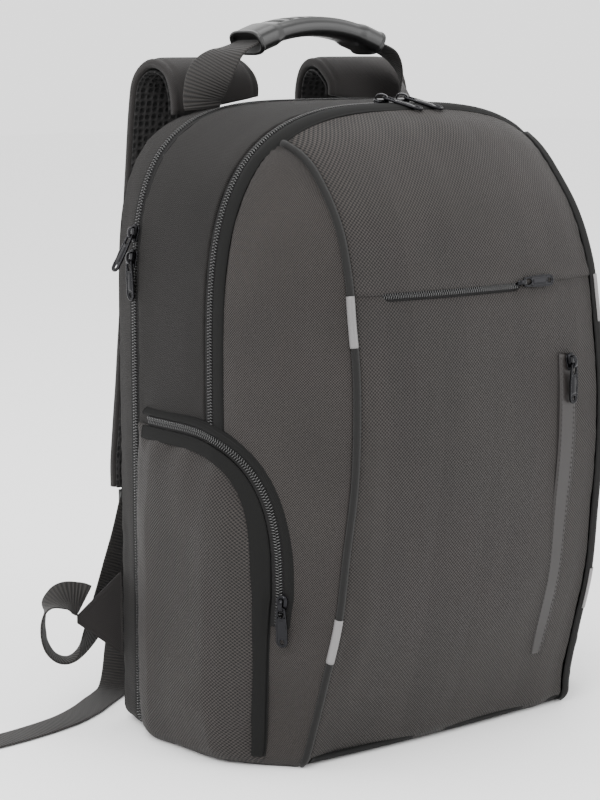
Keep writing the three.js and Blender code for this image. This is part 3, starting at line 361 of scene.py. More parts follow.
@dataclass(frozen=True)
class Finish:
    """A finish: the colours of its raised and sunk parts, its gloss and its relief; on cloth and mesh the
    near-black sunk colour is painted shade.
    """

    name: str
    slot: str
    high: str
    low: str
    roughness: float
    relief: float = 0.15
    metallic: float = 0.0
    sheen: float = 0.0
    specular: float = 0.5
    cloud: float = 0.12

    def pattern(self, tree: bpy.types.NodeTree) -> bpy.types.NodeSocket:
        """The finish's relief as a height from 0 to 1: here moulding grain, about 0.6 mm."""
        place = add_node(tree, PLACE, {})["Object"]
        return add_node(tree, NOISE, {"Vector": place, "Scale": 1600.0, "Detail": 2.0})[0]

    def make(self) -> bpy.types.Material:
        """Builds the material: pattern to colour and bump, with slow cloudy wear over the colour and the
        roughness.
        """
        made = bpy.data.materials.get(self.name)
        if made:
            return made
        material = bpy.data.materials.new(self.name)
        material.use_nodes = True
        tree = material.node_tree
        tree.nodes.clear()
        height = self.pattern(tree)
        place = add_node(tree, PLACE, {})["Object"]
        cloud = add_node(tree, NOISE, {"Vector": place, "Scale": 14.0, "Detail": 3.0})[0]
        worn = {"Value": cloud, 1: 0.3, 2: 0.7, 3: 1 - self.cloud, 4: 1 + self.cloud}
        shade = add_node(tree, RANGE, worn)[0]
        # Colour follows the pattern's height: on the cloths and the mesh the sunk parts take a near-black
        # low colour, painted shade in the hollows between threads and in the cells; on the moulded and cast
        # finishes the two colours are only a faint grain
        colours = {0: height, 6: linear(self.low), 7: linear(self.high)}
        pattern_and_shade_colour = add_node(tree, "ShaderNodeMix", colours, data_type="RGBA")[2]
        tint = add_node(tree, "ShaderNodeHueSaturation", {"Color": pattern_and_shade_colour, "Value": shade})[0]
        bump = add_node(tree, "ShaderNodeBump", {"Height": height, "Distance": self.relief * MM})[0]
        gloss = {0: cloud, 1: 0.12, 2: self.roughness - 0.06}
        rough = add_node(tree, MATH, gloss, operation="MULTIPLY_ADD")[0]
        surface = {
            "Base Color": tint,
            "Roughness": rough,
            "Normal": bump,
            "Metallic": self.metallic,
            "Sheen Weight": self.sheen,
            "Sheen Roughness": 0.45,
            "Specular IOR Level": self.specular,
        }
        shader = add_node(tree, "ShaderNodeBsdfPrincipled", surface)[0]
        add_node(tree, "ShaderNodeOutputMaterial", {"Surface": shader})
        return material


@dataclass(frozen=True)
class Woven(Finish):
    """A woven finish on the piece's own UV: staggered thread floats at a real pitch."""

    pitch: float = 1.0
    slope: float = 1.0
    contrast: float = 0.42

    def pattern(self, tree: bpy.types.NodeTree) -> bpy.types.NodeSocket:
        """Height is half of one plus the product of two sines, one across and one down the cloth."""
        split = add_node(tree, "ShaderNodeSeparateXYZ", {0: add_node(tree, PLACE, {})["UV"]})
        turn = 2 * math.pi / (self.pitch * MM)
        x = add_node(tree, MATH, {0: split["X"], 1: turn}, operation="MULTIPLY")[0]
        y = add_node(tree, MATH, {0: split["Y"], 1: turn * self.slope}, operation="MULTIPLY")[0]
        across = add_node(tree, MATH, {0: x}, operation="SINE")[0]
        down = add_node(tree, MATH, {0: y}, operation="SINE")[0]
        product = add_node(tree, MATH, {0: across, 1: down}, operation="MULTIPLY")[0]
        weave = add_node(tree, MATH, {0: product, 1: self.contrast, 2: 0.35}, operation="MULTIPLY_ADD")[0]
        place = add_node(tree, PLACE, {})["Object"]
        slub = add_node(tree, NOISE, {"Vector": place, "Scale": 700.0, "Detail": 1.0})[0]
        return add_node(tree, MATH, {0: slub, 1: 0.3, 2: weave}, operation="MULTIPLY_ADD")[0]


@dataclass(frozen=True)
class Jacquard(Woven):
    """Jacquard: staggered floats in upright bands, the slant of their ground turning each band."""

    band: float = 11.0

    def pattern(self, tree: bpy.types.NodeTree) -> bpy.types.NodeSocket:
        """Height is the woven one, plus a sine of the height and a zigzag of the width."""
        split = add_node(tree, "ShaderNodeSeparateXYZ", {0: add_node(tree, PLACE, {})["UV"]})
        zigzag = add_node(tree, MATH, {0: split["X"], 1: self.band * MM}, operation="PINGPONG")[0]
        total = add_node(tree, MATH, {0: zigzag, 1: split["Y"]}, operation="ADD")[0]
        turn = 2 * math.pi / (0.5 * self.pitch * MM)
        slant = add_node(tree, MATH, {0: total, 1: turn}, operation="MULTIPLY")[0]
        ground = add_node(tree, MATH, {0: slant}, operation="SINE")[0]
        both = {0: ground, 1: 0.14, 2: Woven.pattern(self, tree)}
        return add_node(tree, MATH, both, operation="MULTIPLY_ADD")[0]


@dataclass(frozen=True)
class Twill(Finish):
    """Twill: fine diagonal ribs across the cloth, broken by the threads."""

    pitch: float = 1.2

    def pattern(self, tree: bpy.types.NodeTree) -> bpy.types.NodeSocket:
        """Height is a sine of the sum of both lengths, with a finer sine across the cloth."""
        split = add_node(tree, "ShaderNodeSeparateXYZ", {0: add_node(tree, PLACE, {})["UV"]})
        turn = 2 * math.pi / (self.pitch * MM)
        total = add_node(tree, MATH, {0: split["X"], 1: split["Y"]}, operation="ADD")[0]
        slant = add_node(tree, MATH, {0: total, 1: turn}, operation="MULTIPLY")[0]
        thread = add_node(tree, MATH, {0: split["X"], 1: turn * 1.3}, operation="MULTIPLY")[0]
        rib = add_node(tree, MATH, {0: slant}, operation="SINE")[0]
        cross = add_node(tree, MATH, {0: thread}, operation="SINE")[0]
        both = add_node(tree, MATH, {0: cross, 1: 0.4, 2: rib}, operation="MULTIPLY_ADD")[0]
        return add_node(tree, MATH, {0: both, 1: 0.3, 2: 0.5}, operation="MULTIPLY_ADD")[0]


@dataclass(frozen=True)
class Ribbed(Finish):
    """Webbing: ribs across the strap, each a little zigzag of threads."""

    pitch: float = 2.2

    def pattern(self, tree: bpy.types.NodeTree) -> bpy.types.NodeSocket:
        """Height is a sine along the strap, its phase swung a little by a sine across it."""
        split = add_node(tree, "ShaderNodeSeparateXYZ", {0: add_node(tree, PLACE, {})["UV"]})
        turn = 2 * math.pi / (self.pitch * MM)
        x = add_node(tree, MATH, {0: split["X"], 1: turn * 1.6}, operation="MULTIPLY")[0]
        wave = add_node(tree, MATH, {0: x}, operation="SINE")[0]
        swing = add_node(tree, MATH, {0: wave, 1: 0.35}, operation="MULTIPLY")[0]
        y = add_node(tree, MATH, {0: split["Y"], 1: turn, 2: swing}, operation="MULTIPLY_ADD")[0]
        rib = add_node(tree, MATH, {0: y}, operation="SINE")[0]
        return add_node(tree, MATH, {0: rib, 1: 0.45, 2: 0.5}, operation="MULTIPLY_ADD")[0]


@dataclass(frozen=True)
class Spacer(Finish):
    """Spacer mesh: open cells in staggered rows, dark inside as painted shade at each cell's middle."""

    cell: float = 5.2

    def pattern(self, tree: bpy.types.NodeTree) -> bpy.types.NodeSocket:
        """Height is the distance from the nearest cell's middle, steep at the cell's rim."""
        place = add_node(tree, PLACE, {})["UV"]
        cells = {"Vector": place, "Scale": 1 / (self.cell * MM), "Randomness": 0.25}
        from_middle = add_node(tree, "ShaderNodeTexVoronoi", cells)["Distance"]
        return add_node(tree, RANGE, {"Value": from_middle, 1: 0.22, 2: 0.5})[0]


@dataclass(frozen=True)
class Finishes:
    """Every finish of the bag, each named for the real material."""

    # Foam-backed polyester twill, dull, its diagonal just visible
    twill: Finish = Twill(
        "Polyester_twill", "twill", "#262423", "#080808", 0.9,
        relief=0.35, sheen=0.03, specular=0.2, pitch=1.7,
    )
    # Coarser Oxford weave, a soft grid of raised threads
    oxford: Finish = Woven(
        "Oxford_weave", "oxford", "#3a3634", "#080808", 0.88,
        relief=0.4, sheen=0.04, specular=0.25, pitch=1.9, contrast=0.75,
    )
    # Jacquard with staggered dots, their lighter colour a painted highlight of the light they catch, drawn
    # at about twice the real pitch to show
    jacquard: Finish = Jacquard(
        "Dotted_jacquard", "jacquard", "#332f2d", "#040404", 0.74,
        relief=0.45, sheen=0.03, specular=0.25, pitch=2.5, contrast=0.75,
    )
    # The same twill pressed flat round a strip, smoother and blacker
    facing: Finish = Twill(
        "Facing_twill", "twill", "#0f0f0e", "#050505", 0.8,
        relief=0.12, specular=0.18, pitch=1.5,
    )
    # Polyurethane-coated tape, smooth and faintly glossy, a little brown
    coated: Finish = Finish(
        "Coated_tape", "coated_tape", "#1d1918", "#181514", 0.46,
        relief=0.03, specular=0.35, cloud=0.05,
    )
    tape: Finish = Twill(
        "Zip_tape_weave", "zip", "#151414", "#070707", 0.85,
        relief=0.15, specular=0.25, pitch=1.2,
    )
    # Nylon coil: bright glints on every turn
    coil: Finish = Finish("Nylon_coil", "zip", "#1b1b1b", "#171717", 0.26, relief=0.02, specular=0.8)
    piping: Finish = Twill(
        "Piping_bias_tape", "piping", "#121110", "#050505", 0.84,
        relief=0.2, sheen=0.05, specular=0.3,
    )
    # Glass-bead tape, a flat silver grey
    reflector: Finish = Woven(
        "Reflective_tape", "reflector", "#6c6a6a", "#5f5d5d", 0.4,
        relief=0.05, pitch=0.9,
    )
    # Spacer mesh: the near-black colour at each cell's middle is painted shade in the open cells
    mesh: Finish = Spacer(
        "Spacer_mesh", "spacer_mesh", "#232222", "#040404", 0.9,
        relief=1.6, specular=0.3,
    )
    strap: Finish = Twill(
        "Strap_cover_twill", "strap_cloth", "#282524", "#0e0d0d", 0.88,
        relief=0.25, sheen=0.05, specular=0.3,
    )
    webbing: Finish = Ribbed(
        "Polyester_webbing", "webbing", "#24211f", "#0a0909", 0.8,
        relief=0.5, sheen=0.05, specular=0.4, pitch=2.3,
    )
    # Thermoplastic rubber straight from a polished mould
    rubber: Finish = Finish(
        "Moulded_rubber", "grip_rubber", "#121212", "#0d0d0d", 0.3,
        relief=0.04, specular=0.5,
    )
    acetal: Finish = Finish("Moulded_acetal", "buckle_plastic", "#171717", "#121212", 0.4, relief=0.03)
    # Black nickel plate on a die casting, dark but mirror-bright on its edges
    nickel: Finish = Finish(
        "Black_nickel", "gunmetal", "#242426", "#1b1b1d", 0.24,
        relief=0.02, metallic=0.9,
    )
    # Spun polyester thread, a touch lighter than the cloth it sinks into
    thread: Finish = Finish("Sewing_thread", "twill", "#2c2a29", "#222120", 0.7, relief=0.05)


FINISH = Finishes()


def show(
    piece: bpy.types.Object,
    finish: Finish,
    *nodes: str,
    body: str = Body.BAG.value,
) -> bpy.types.Object:
    """Dresses a piece, and lets it ride on a body in the place of some CAD nodes."""
    piece.data.materials.append(finish.make())
    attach(piece, body)
    if nodes:
        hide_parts(*nodes)
    LOG.info("%s: %d faces, %s", piece.name, len(piece.data.polygons), finish.name)
    return piece


def dress(
    name: str,
    part: tuple[Array, Sequence, Array],
    finish: Finish,
    *nodes: str,
    flip: Array | float = 1.0,
) -> bpy.types.Object:
    """Makes a piece of a part's points, faces and uv, flipped to its own side, and shows it."""
    points, faces, uv = part
    return show(put_mesh(name, points * flip, faces, uv), finish, *nodes)


# The bag's shape


@dataclass(frozen=True)
class BagShape:
    """The bag's outside, the same as its solids: rings over the crown, and a bowed front."""

    height: float = 455
    half_width: float = 167
    back_depth: float = 110
    front_depth: float = 104.5
    spring: float = 280
    edge_roll: float = 12
    middle: tuple[float, float, float] = (0, 25, 200)
    front_crown: float = 11
    gusset_power: float = 1.45
    gusset_start: float = -10.8
    front_seam: float = 333
    tip_share: float = 0.952
    tip: float = tip_share * height
    ring_half: Curve = Curve((-0.1, 0.35, 0.745, 1), (0.976, 0.998, 1, 0.972))
    ring_top: Curve = Curve((-0.1, 0.35, 0.745, 1), (0.998, 1.002, 1, 0.993))
    ring_power: Curve = Curve((-0.1, 0.35, 0.745, 1), (3.1, 3.4, 3.8, 4.2))
    piping_half: Curve = Curve(
        (0, 0.051, 0.145, 0.24, 0.347, 0.453, 0.552, 0.624, 0.69, 0.756, 0.831, 0.899, 0.93, 0.952),
        (0.755, 0.731, 0.716, 0.707, 0.697, 0.684, 0.677, 0.671, 0.67, 0.665, 0.653, 0.647, 0.656, 0.683),
    )
    piping_depth: Curve = Curve(
        (0, 0.051, 0.145, 0.24, 0.347, 0.453, 0.552, 0.624, 0.69, 0.756, 0.831, 0.899, 0.93, 0.952),
        (0.584, 0.625, 0.742, 0.861, 0.923, 0.978, 0.985, 0.962, 0.919, 0.868, 0.737, 0.507, 0.345, 0.135),
    )
    crown_rise: Curve = Curve((0, 0.2, 0.5, 0.75, 0.9, 1), (0.4, 0.75, 1, 0.85, 0.6, 0.05))

    def roll(self, z: Array) -> Array:
        """How far the rolled bottom edge draws the outline in, a quarter circle below its radius."""
        down = np.clip(self.edge_roll - z, 0, self.edge_roll)
        inset = self.edge_roll - np.sqrt(np.maximum(self.edge_roll**2 - down**2, 0))
        return np.where(z < 0, self.edge_roll - z, inset)

    def ring(self, y: Array) -> tuple[Array, Array, Array]:
        """Half width and top height of the ring at depth y, and the power of its crown's curve."""
        share = np.asarray(y, float) / self.back_depth
        half, top = self.ring_half(share) * self.half_width, self.ring_top(share) * self.height
        return half, top, self.ring_power(share)

    def side(self, y: Array, z: Array) -> Array:
        """Half the width at a height: straight, then the n-th root of one minus the rise to the n."""
        half, top, power = self.ring(y)
        up = np.clip((z - self.spring) / (top - self.spring), 0, 1)
        return half * (1 - up**power) ** (1 / power) - self.roll(z)

    def crown(self, y: Array, x: Array) -> Array:
        """Height of the crown over x, on the ring at depth y."""
        half, top, power = self.ring(y)
        level = np.maximum(1 - np.abs(x / half) ** power, 0) ** (1 / power)
        return self.spring + (top - self.spring) * level

    def ring_grid(
        self, depths: Array, low: float = -6, side_step: float = 5, crown_steps: int = 56
    ) -> Array:
        """Rings from the left hem over the crown to the right hem, a row for each depth.

        The crown's points stand at cosine over r and sine over r of an even angle, where r is the
        n-th root of the sum of their n-th powers.
        """
        roll_levels = np.array([low, 0, 1, 2.4, 4.4, 7, 9.6]) if low < 0 else np.array([low])
        levels = np.concatenate([roll_levels, np.arange(max(12, low + 1), self.spring - 2, side_step)])
        angle = np.linspace(0, math.pi / 2, crown_steps)
        y = np.asarray(depths, float)[:, None]
        half, top, power = self.ring(y)
        reach = (np.cos(angle) ** power + np.sin(angle) ** power) ** (1 / power)
        x = np.concatenate([half - self.roll(levels)[None, :], half * np.cos(angle) / reach], 1)
        z_low = np.broadcast_to(np.maximum(levels, 0), (len(depths), len(levels)))
        z = np.concatenate([z_low, self.spring + (top - self.spring) * np.sin(angle) / reach], 1)
        left = np.stack([-x, np.broadcast_to(y, x.shape), z], -1)
        right = left[:, -2::-1] * np.array([-1, 1, 1])
        return np.concatenate([left, right], 1)

    def piping(self, z: Array) -> tuple[Array, Array]:
        """Half width and depth of the piping's seam at a height."""
        share, inset = z / self.height, self.roll(z)
        half = self.piping_half(share) * self.half_width - 0.4 * inset
        return half, inset - self.piping_depth(share) * self.front_depth

    def gusset(self, z: Array, s: Array) -> Array:
        """The front gusset on the left, s from 0 at the main zip to 1 at the piping."""
        half, y = self.piping(z)
        start = self.side(np.full_like(np.asarray(z, float), self.gusset_start), z)
        x = start - (start - half) * s**self.gusset_power
        return np.stack([-x, self.gusset_start + (y - self.gusset_start) * s, np.maximum(z, 0) + 0 * s], -1)

    def front(self, v: Array, s: Array) -> Array:
        """The front panel, v up from 0 to 1 and s from -1 at the left piping to 1."""
        half, y = self.piping(v * self.tip)
        bow = self.front_crown * self.crown_rise(v) * (1 - s * s)
        tip_half = self.piping_half(self.tip_share) * self.half_width
        z = v * self.crown(self.gusset_start, tip_half * s)
        return np.stack(np.broadcast_arrays(half * s, y - bow, np.maximum(z, 0)), -1)

    def on_front(self, x: Array, z: Array, lift: Array | float = 0.0) -> Array:
        """A point of the front panel at x and z, raised along its normal by lift."""
        x, z = np.broadcast_arrays(np.asarray(x, float), np.asarray(z, float))
        v = z / self.crown(self.gusset_start, 0.0)
        s = x / self.front(v, np.ones_like(v))[..., 0]
        step = 0.01
        up = self.front(v + step, s) - self.front(v - step, s)
        over = self.front(v, s + step) - self.front(v, s - step)
        return self.front(v, s) + unit(np.cross(over, up)) * np.asarray(lift, float)[..., None]

    def front_normal(self, x: Array, z: Array) -> Array:
        """The front panel's outward direction at x and z."""
        return self.on_front(x, z, np.ones_like(x)) - self.on_front(x, z, np.zeros_like(x))

    def flank(self, y: Array, z: Array) -> Array:
        """Half width of the outside at a depth and height, front gusset included."""
        half, depth = self.piping(z)
        s = np.clip((y - self.gusset_start) / (depth - self.gusset_start), 0, 1)
        start = self.side(np.full_like(np.asarray(z, float), self.gusset_start), z)
        ahead = start - (start - half) * s**self.gusset_power
        return np.where(y >= self.gusset_start, self.side(y, z), ahead)


SHAPE = BagShape()


def turned_edge(
    grid: Array, normals: Array, radius: float, first: bool, steps: int = 4
) -> tuple[Array, Array]:
    """Rolls the first or last row of a cloth grid inwards, as a turned seam edge.

    The new rows stand at radius times the sine of an angle beyond the edge, and radius times one
    minus its cosine below it, for angles up to a right angle.

    Args:
        grid: The cloth's points.
        normals: Their outward normals.
        radius: Radius of the turn.
        first: Whether the first row is turned, or else the last.
        steps: Rows that the turn adds.

    Returns:
        The longer grid and its normals.
    """
    edge, inside = (grid[0], grid[2]) if first else (grid[-1], grid[-3])
    n = normals[0] if first else normals[-1]
    beyond = edge - inside
    beyond = unit(beyond - n * (beyond * n).sum(-1, keepdims=True))
    angle = np.linspace(0, math.pi / 2, steps + 1)[1:, None, None]
    rows = edge + radius * (np.sin(angle) * beyond - (1 - np.cos(angle)) * n)
    turned = unit(np.cos(angle) * n + np.sin(angle) * beyond)
    if first:
        return np.concatenate([rows[::-1], grid]), np.concatenate([turned[::-1], normals])
    return np.concatenate([grid, rows]), np.concatenate([normals, turned])


@dataclass
class ClothPanel:
    """A cloth panel: a grid that is wrinkled, turned in at chosen edges, and given its thickness."""

    name: str
    grid: Array
    thick: float = 1.8
    edge_radius: float = 1.6
    turned: tuple[bool, bool, bool, bool] = (True, True, False, False)
    dent: float = 0.8
    dent_size: float = 120
    pucker: float = 0.25
    pucker_size: float = 13
    seed: int = 1
    away_from: tuple[float, float, float] = SHAPE.middle
    relief: Callable[[Array], Array] | None = None
    plan: tuple[int, int] | None = None

    def build(self) -> bpy.types.Object:
        """Builds the panel.

        Each point moves along its normal by dent times slow noise, faded at the panel's edges, and
        by pucker times quick noise that dies away 7 mm from an edge.
        """
        grid = self.grid
        normals = grid_normals(grid, self.away_from)
        rows, columns = grid.shape[:2]
        down = run_length(grid[:, columns // 2])
        across = run_length(grid[rows // 2])
        distances = []
        for turned, distance in zip(self.turned, (down, down[-1] - down, across, across[-1] - across)):
            axis = distance[:, None] if len(distances) < 2 else distance[None, :]
            distances.append(axis if turned else np.full_like(axis, 1e3))
        near = np.minimum(np.minimum(distances[0], distances[1]), np.minimum(distances[2], distances[3]))
        lift = self.dent * soft_noise(grid, self.dent_size, self.seed) * smooth_step(near / 22)
        lift = lift + self.pucker * soft_noise(grid, self.pucker_size, self.seed + 50) * np.exp(-near / 7)
        if self.relief is not None:
            lift = lift + self.relief(grid)
        grid = grid + normals * np.asarray(lift)[..., None]
        for k in range(4):
            if not self.turned[k]:
                continue
            if k >= 2:
                grid, normals = grid.transpose(1, 0, 2), normals.transpose(1, 0, 2)
            grid, normals = turned_edge(grid, normals, self.edge_radius, first=k % 2 == 0)
            if k >= 2:
                grid, normals = grid.transpose(1, 0, 2), normals.transpose(1, 0, 2)
        points, faces, uv = shell(grid, grid - normals * self.thick)
        if self.plan:
            uv = points[..., list(self.plan)]
        return put_mesh(self.name, points, faces, uv)


@dataclass
class Stitching:
    """A row of lockstitches: short thread bars that rest on the cloth."""

    length: float = 2.6
    gap: float = 1.1
    thread: float = 0.42

    def along(self, name: str, lines: Sequence[tuple[Array, Array]]) -> bpy.types.Object:
        """Builds stitches on lines of points.

        Each stitch is a six-sided bar of three rings along the line, its ends sunk into the cloth:
        ring k stands at -1, 0 and 1 half lengths, thinned to 0.35 at both ends.

        Args:
            name: The object's name.
            lines: Pairs of points and outward normals, each shaped (n, 3).

        Returns:
            The object of all the stitches.
        """
        parts = []
        angle = np.linspace(0, 2 * math.pi, 6, endpoint=False)
        for points, normals in lines:
            length = run_length(points)
            centres = np.arange(self.length, length[-1] - self.length, self.length + self.gap)
            at = np.stack([np.interp(centres, length, c) for c in points.T], -1)
            out = unit(np.stack([np.interp(centres, length, c) for c in normals.T], -1))
            ahead = np.stack([np.interp(centres + 0.5, length, c) for c in points.T], -1)
            along = unit(ahead - at)
            across = np.cross(out, along)
            ring, scale = np.array([-1.0, 0.0, 1.0]), np.array([0.35, 1.0, 0.35])
            sink = np.array([-0.3, 0.1, -0.3])
            x = self.thread * np.cos(angle)[None, :] * scale[:, None]
            y = self.thread * np.sin(angle)[None, :] * scale[:, None] + sink[:, None]
            z = np.broadcast_to(ring[:, None] * self.length / 2, x.shape)
            local = [v.reshape(1, -1, 1) for v in (x, y, z)]
            ways = (across, out, along)
            made = at[:, None] + sum(way[:, None] * offset for way, offset in zip(ways, local))
            one = [*quad_faces(3, 6, closed_columns=True), np.arange(6)[::-1], np.arange(6) + 12]
            count = len(at)
            faces = [f + 18 * k for k in range(count) for f in one]
            parts.append((made, faces, np.zeros((count * 18, 2))))
        points, faces, uv = joined(parts)
        return put_mesh(name, points, faces, uv)


# Panels of the body


@dataclass
class Gussets:
    """The two bands of cloth that run over the crown, and the pair of front gussets."""

    band_step: float = 3.2
    facing: float = 7.2

    def bands(self) -> None:
        """Builds the rear and main bands, their edges turned in beside the zips."""
        for name, low, high, seed in (("laptop_gusset", 87.6, 109.4, 3), ("main_gusset", 2.8, 76.4, 4)):
            depths = np.linspace(low, high, int((high - low) / self.band_step) + 2)
            panel = ClothPanel(f"{name}_cloth", SHAPE.ring_grid(depths), seed=seed, dent=0.9)
            show(panel.build(), FINISH.twill, name)

    def front_pair(self) -> None:
        """Builds the front gussets, with a sewn facing beside the main zip."""
        z = np.concatenate([[-6, 0, 1, 2.4, 4.4, 7, 9.6], np.arange(12, SHAPE.tip - 1.5, 4)])
        s = np.linspace(0.012, 0.965, 34)
        left = SHAPE.gusset(z[:, None], s[None, :])

        def facing(grid: Array) -> Array:
            """A groove 0.9 mm deep where the facing ends, and a slight swell on both its sides."""
            from_zip = (SHAPE.gusset_start - grid[..., 1]) - self.facing
            swell = 1.6 * smooth_step(from_zip / 40) * smooth_step((430 - grid[..., 2]) / 80)
            return 0.35 - 1.3 * np.exp(-((from_zip / 1.3) ** 2)) + swell

        for side, flip in SIDES:
            panel = ClothPanel(
                f"front_gusset_{side}_cloth",
                left * flip,
                turned=(False, False, True, True),
                seed=6,
                dent=0.9,
                relief=facing,
            )
            show(panel.build(), FINISH.oxford, f"front_gusset_{side}")

    def build(self) -> None:
        """Builds every gusset."""
        self.bands()
        self.front_pair()


@dataclass
class FrontPanels:
    """The bowed front: an upper and a lower panel, parted by the horizontal pocket's mouth."""

    seam: float = SHAPE.front_seam
    mouth: tuple[float, float] = (-91, 27)
    mouth_gap: float = 8.0
    columns: int = 92

    def level(self, v: Array, s: Array) -> Array:
        """Shares v bent so that the seam runs level: v times c to the power w.

        c is the crown's height in the middle over its height at s, and w falls from one at the
        seam to nought at the panel's top and bottom.
        """
        middle = float(SHAPE.crown(SHAPE.gusset_start, 0.0))
        seam = self.seam / middle
        tip_half = SHAPE.piping_half(SHAPE.tip_share) * SHAPE.half_width
        ratio = middle / SHAPE.crown(SHAPE.gusset_start, tip_half * s)
        weight = np.where(v > seam, (1 - v) / (1 - seam), np.clip(v / seam, 0, 1))
        return v * ratio ** np.clip(weight, 0, 1)

    def seam_line(self, x: Array, lift: float) -> Array:
        """Points of the level seam over x, raised along the panel's normal."""
        v = np.full_like(x, self.seam / float(SHAPE.crown(SHAPE.gusset_start, 0.0)))
        s = x / SHAPE.front(v, np.ones_like(v))[:, 0]
        line = SHAPE.front(self.level(v, s), s)
        return line + lift * SHAPE.front_normal(x, np.full_like(x, self.seam))

    def opening(self, x: Array) -> Array:
        """Half the gap between the panels over x: open along the mouth, closed beyond it."""
        inside = smooth_step((x - self.mouth[0]) / 8) * smooth_step((self.mouth[1] + 8 - x) / 8)
        return 0.25 + self.mouth_gap / 2 * inside

    def grid(self, low: float, high: float, upper: bool) -> Array:
        """The panel's points between two heights at its middle, its seam edge following the mouth."""
        top = SHAPE.crown(SHAPE.gusset_start, 0.0)
        v = np.linspace(low / top, high / top, int((high - low) / 3.4))
        if not upper:
            v = np.concatenate([np.array([-6, 0, 1, 2.4, 4.4, 7, 9.6]) / top, v])
        s = np.linspace(-0.965, 0.965, self.columns)
        grid = SHAPE.front(self.level(v[:, None], s[None, :]), s[None, :])
        gap = self.opening(grid[0 if upper else -1, :, 0])
        fade = np.linspace(1, 0, 8) ** 2
        rows = slice(0, 8) if upper else slice(-1, -9, -1)
        grid[rows, :, 2] += fade[:, None] * gap[None, :] * (0.3 if upper else -1.7)
        return grid

    def build(self) -> None:
        """Builds both panels."""
        top = float(SHAPE.crown(SHAPE.gusset_start, 0.0))
        lower = ClothPanel(
            "front_panel_lower_cloth",
            self.grid(12, self.seam, upper=False),
            turned=(False, True, True, True),
            seed=11,
            dent=1.3,
            dent_size=150,
            plan=(0, 2),
            relief=lambda g: 0.5 * np.exp(-(((g[..., 2] - self.seam + 12) / 8) ** 2)),
        )
        show(lower.build(), FINISH.jacquard, "front_panel_lower")
        upper = ClothPanel(
            "front_panel_upper_cloth",
            self.grid(self.seam, top - 1.2, upper=True),
            turned=(True, True, True, True),
            seed=12,
            dent=1.0,
            dent_size=150,
            plan=(0, 2),
            relief=lambda g: 1.4 * np.exp(-(((g[..., 2] - self.seam) / 6) ** 2)),
        )
        show(upper.build(), FINISH.jacquard, "front_panel_upper")


@dataclass
class BaseAndBack:
    """The flat base under the bag and the padded back panel."""

    padding: float = 8

    def base(self) -> None:
        """Builds the base as a grid drawn in from the hem line, 2 mm thick."""
        z = np.array([-6.0])
        depths = np.linspace(109.5, -10.8, 40)
        sides = np.stack([SHAPE.side(depths, np.full(40, -6.0)), depths], -1)
        gusset = SHAPE.gusset(z, np.linspace(0.02, 0.97, 18)[:, None])[:, 0]
        corner = np.stack([-gusset[:, 0], gusset[:, 1]], -1)
        front_y = SHAPE.front(np.full(1, -6 / 434), np.array([0.5]))[0, 1]
        edge = np.concatenate([sides, corner])
        y = np.linspace(109.4, front_y + 1.5, 70)
        half = np.interp(-y, -edge[:, 1], edge[:, 0]) - 1
        across = np.linspace(-1, 1, 60)
        x = half[:, None] * across
        grid = np.stack(np.broadcast_arrays(x, y[:, None], 0.0), -1)
        dress("base_panel_cloth", shell(grid, grid + np.array([0, 0, 1.8])), FINISH.twill, "base_panel")

    def back(self) -> None:
        """Builds the back panel: a padded sheet with quilted channels down and across it."""
        u = np.linspace(-1, 1, 130)
        w = np.linspace(0, 1, 150)
        z_edge = w[:, None] * 450.5 + 0.8
        half = SHAPE.side(np.full_like(z_edge, 110.0), np.minimum(z_edge, 451))
        grid = np.stack(np.broadcast_arrays(half * u, 110.4, z_edge), -1)
        rim = np.minimum(1 - np.abs(u)[None, :], np.minimum(w, 1 - w)[:, None] * 2.6)
        swell = np.sqrt(np.clip(rim * 6, 0, 1))
        channel = sum(np.exp(-(((grid[..., 0] - x) / 4) ** 2)) for x in (-36, 36))
        channel = channel + sum(np.exp(-(((grid[..., 2] - h) / 4) ** 2)) for h in (120, 330))
        depth = self.padding * swell * (1 - 0.55 * np.clip(channel, 0, 1))
        face = grid + np.array([0, 1, 0]) * depth[..., None]
        points, faces, uv = shell(face, grid)
        piece = show(put_mesh("back_panel_mesh", points, faces, uv), FINISH.mesh, "back_panel")

    def rim(self) -> None:
        """Builds the base cloth's turned-up rim, 7 mm high, round the front and both gussets."""
        z = np.array([-3.0, 0, 1, 2.4, 4.4, 6.2, 7.0, 7.2])[:, None]
        lift = np.array([0.3, 0.6, 0.7, 0.8, 0.8, 0.8, 0.6, -0.2])[:, None, None]
        side = SHAPE.gusset(z, np.linspace(0.01, 0.955, 30)[None, :])
        share = z / SHAPE.crown(SHAPE.gusset_start, 0.0)
        front = SHAPE.front(share, np.linspace(-0.955, 0.955, 60)[None, :])
        for name, grid in (("left", side), ("right", side * np.array([-1, 1, 1])), ("front", front)):
            normals = grid_normals(grid, SHAPE.middle)
            dress(f"base_rim_{name}", shell(grid + normals * lift, grid - normals * 1.2), FINISH.facing)

    def build(self) -> None:
        """Builds the base, its rim and the back panel."""
        self.base()
        self.rim()
        self.back()


# Zips


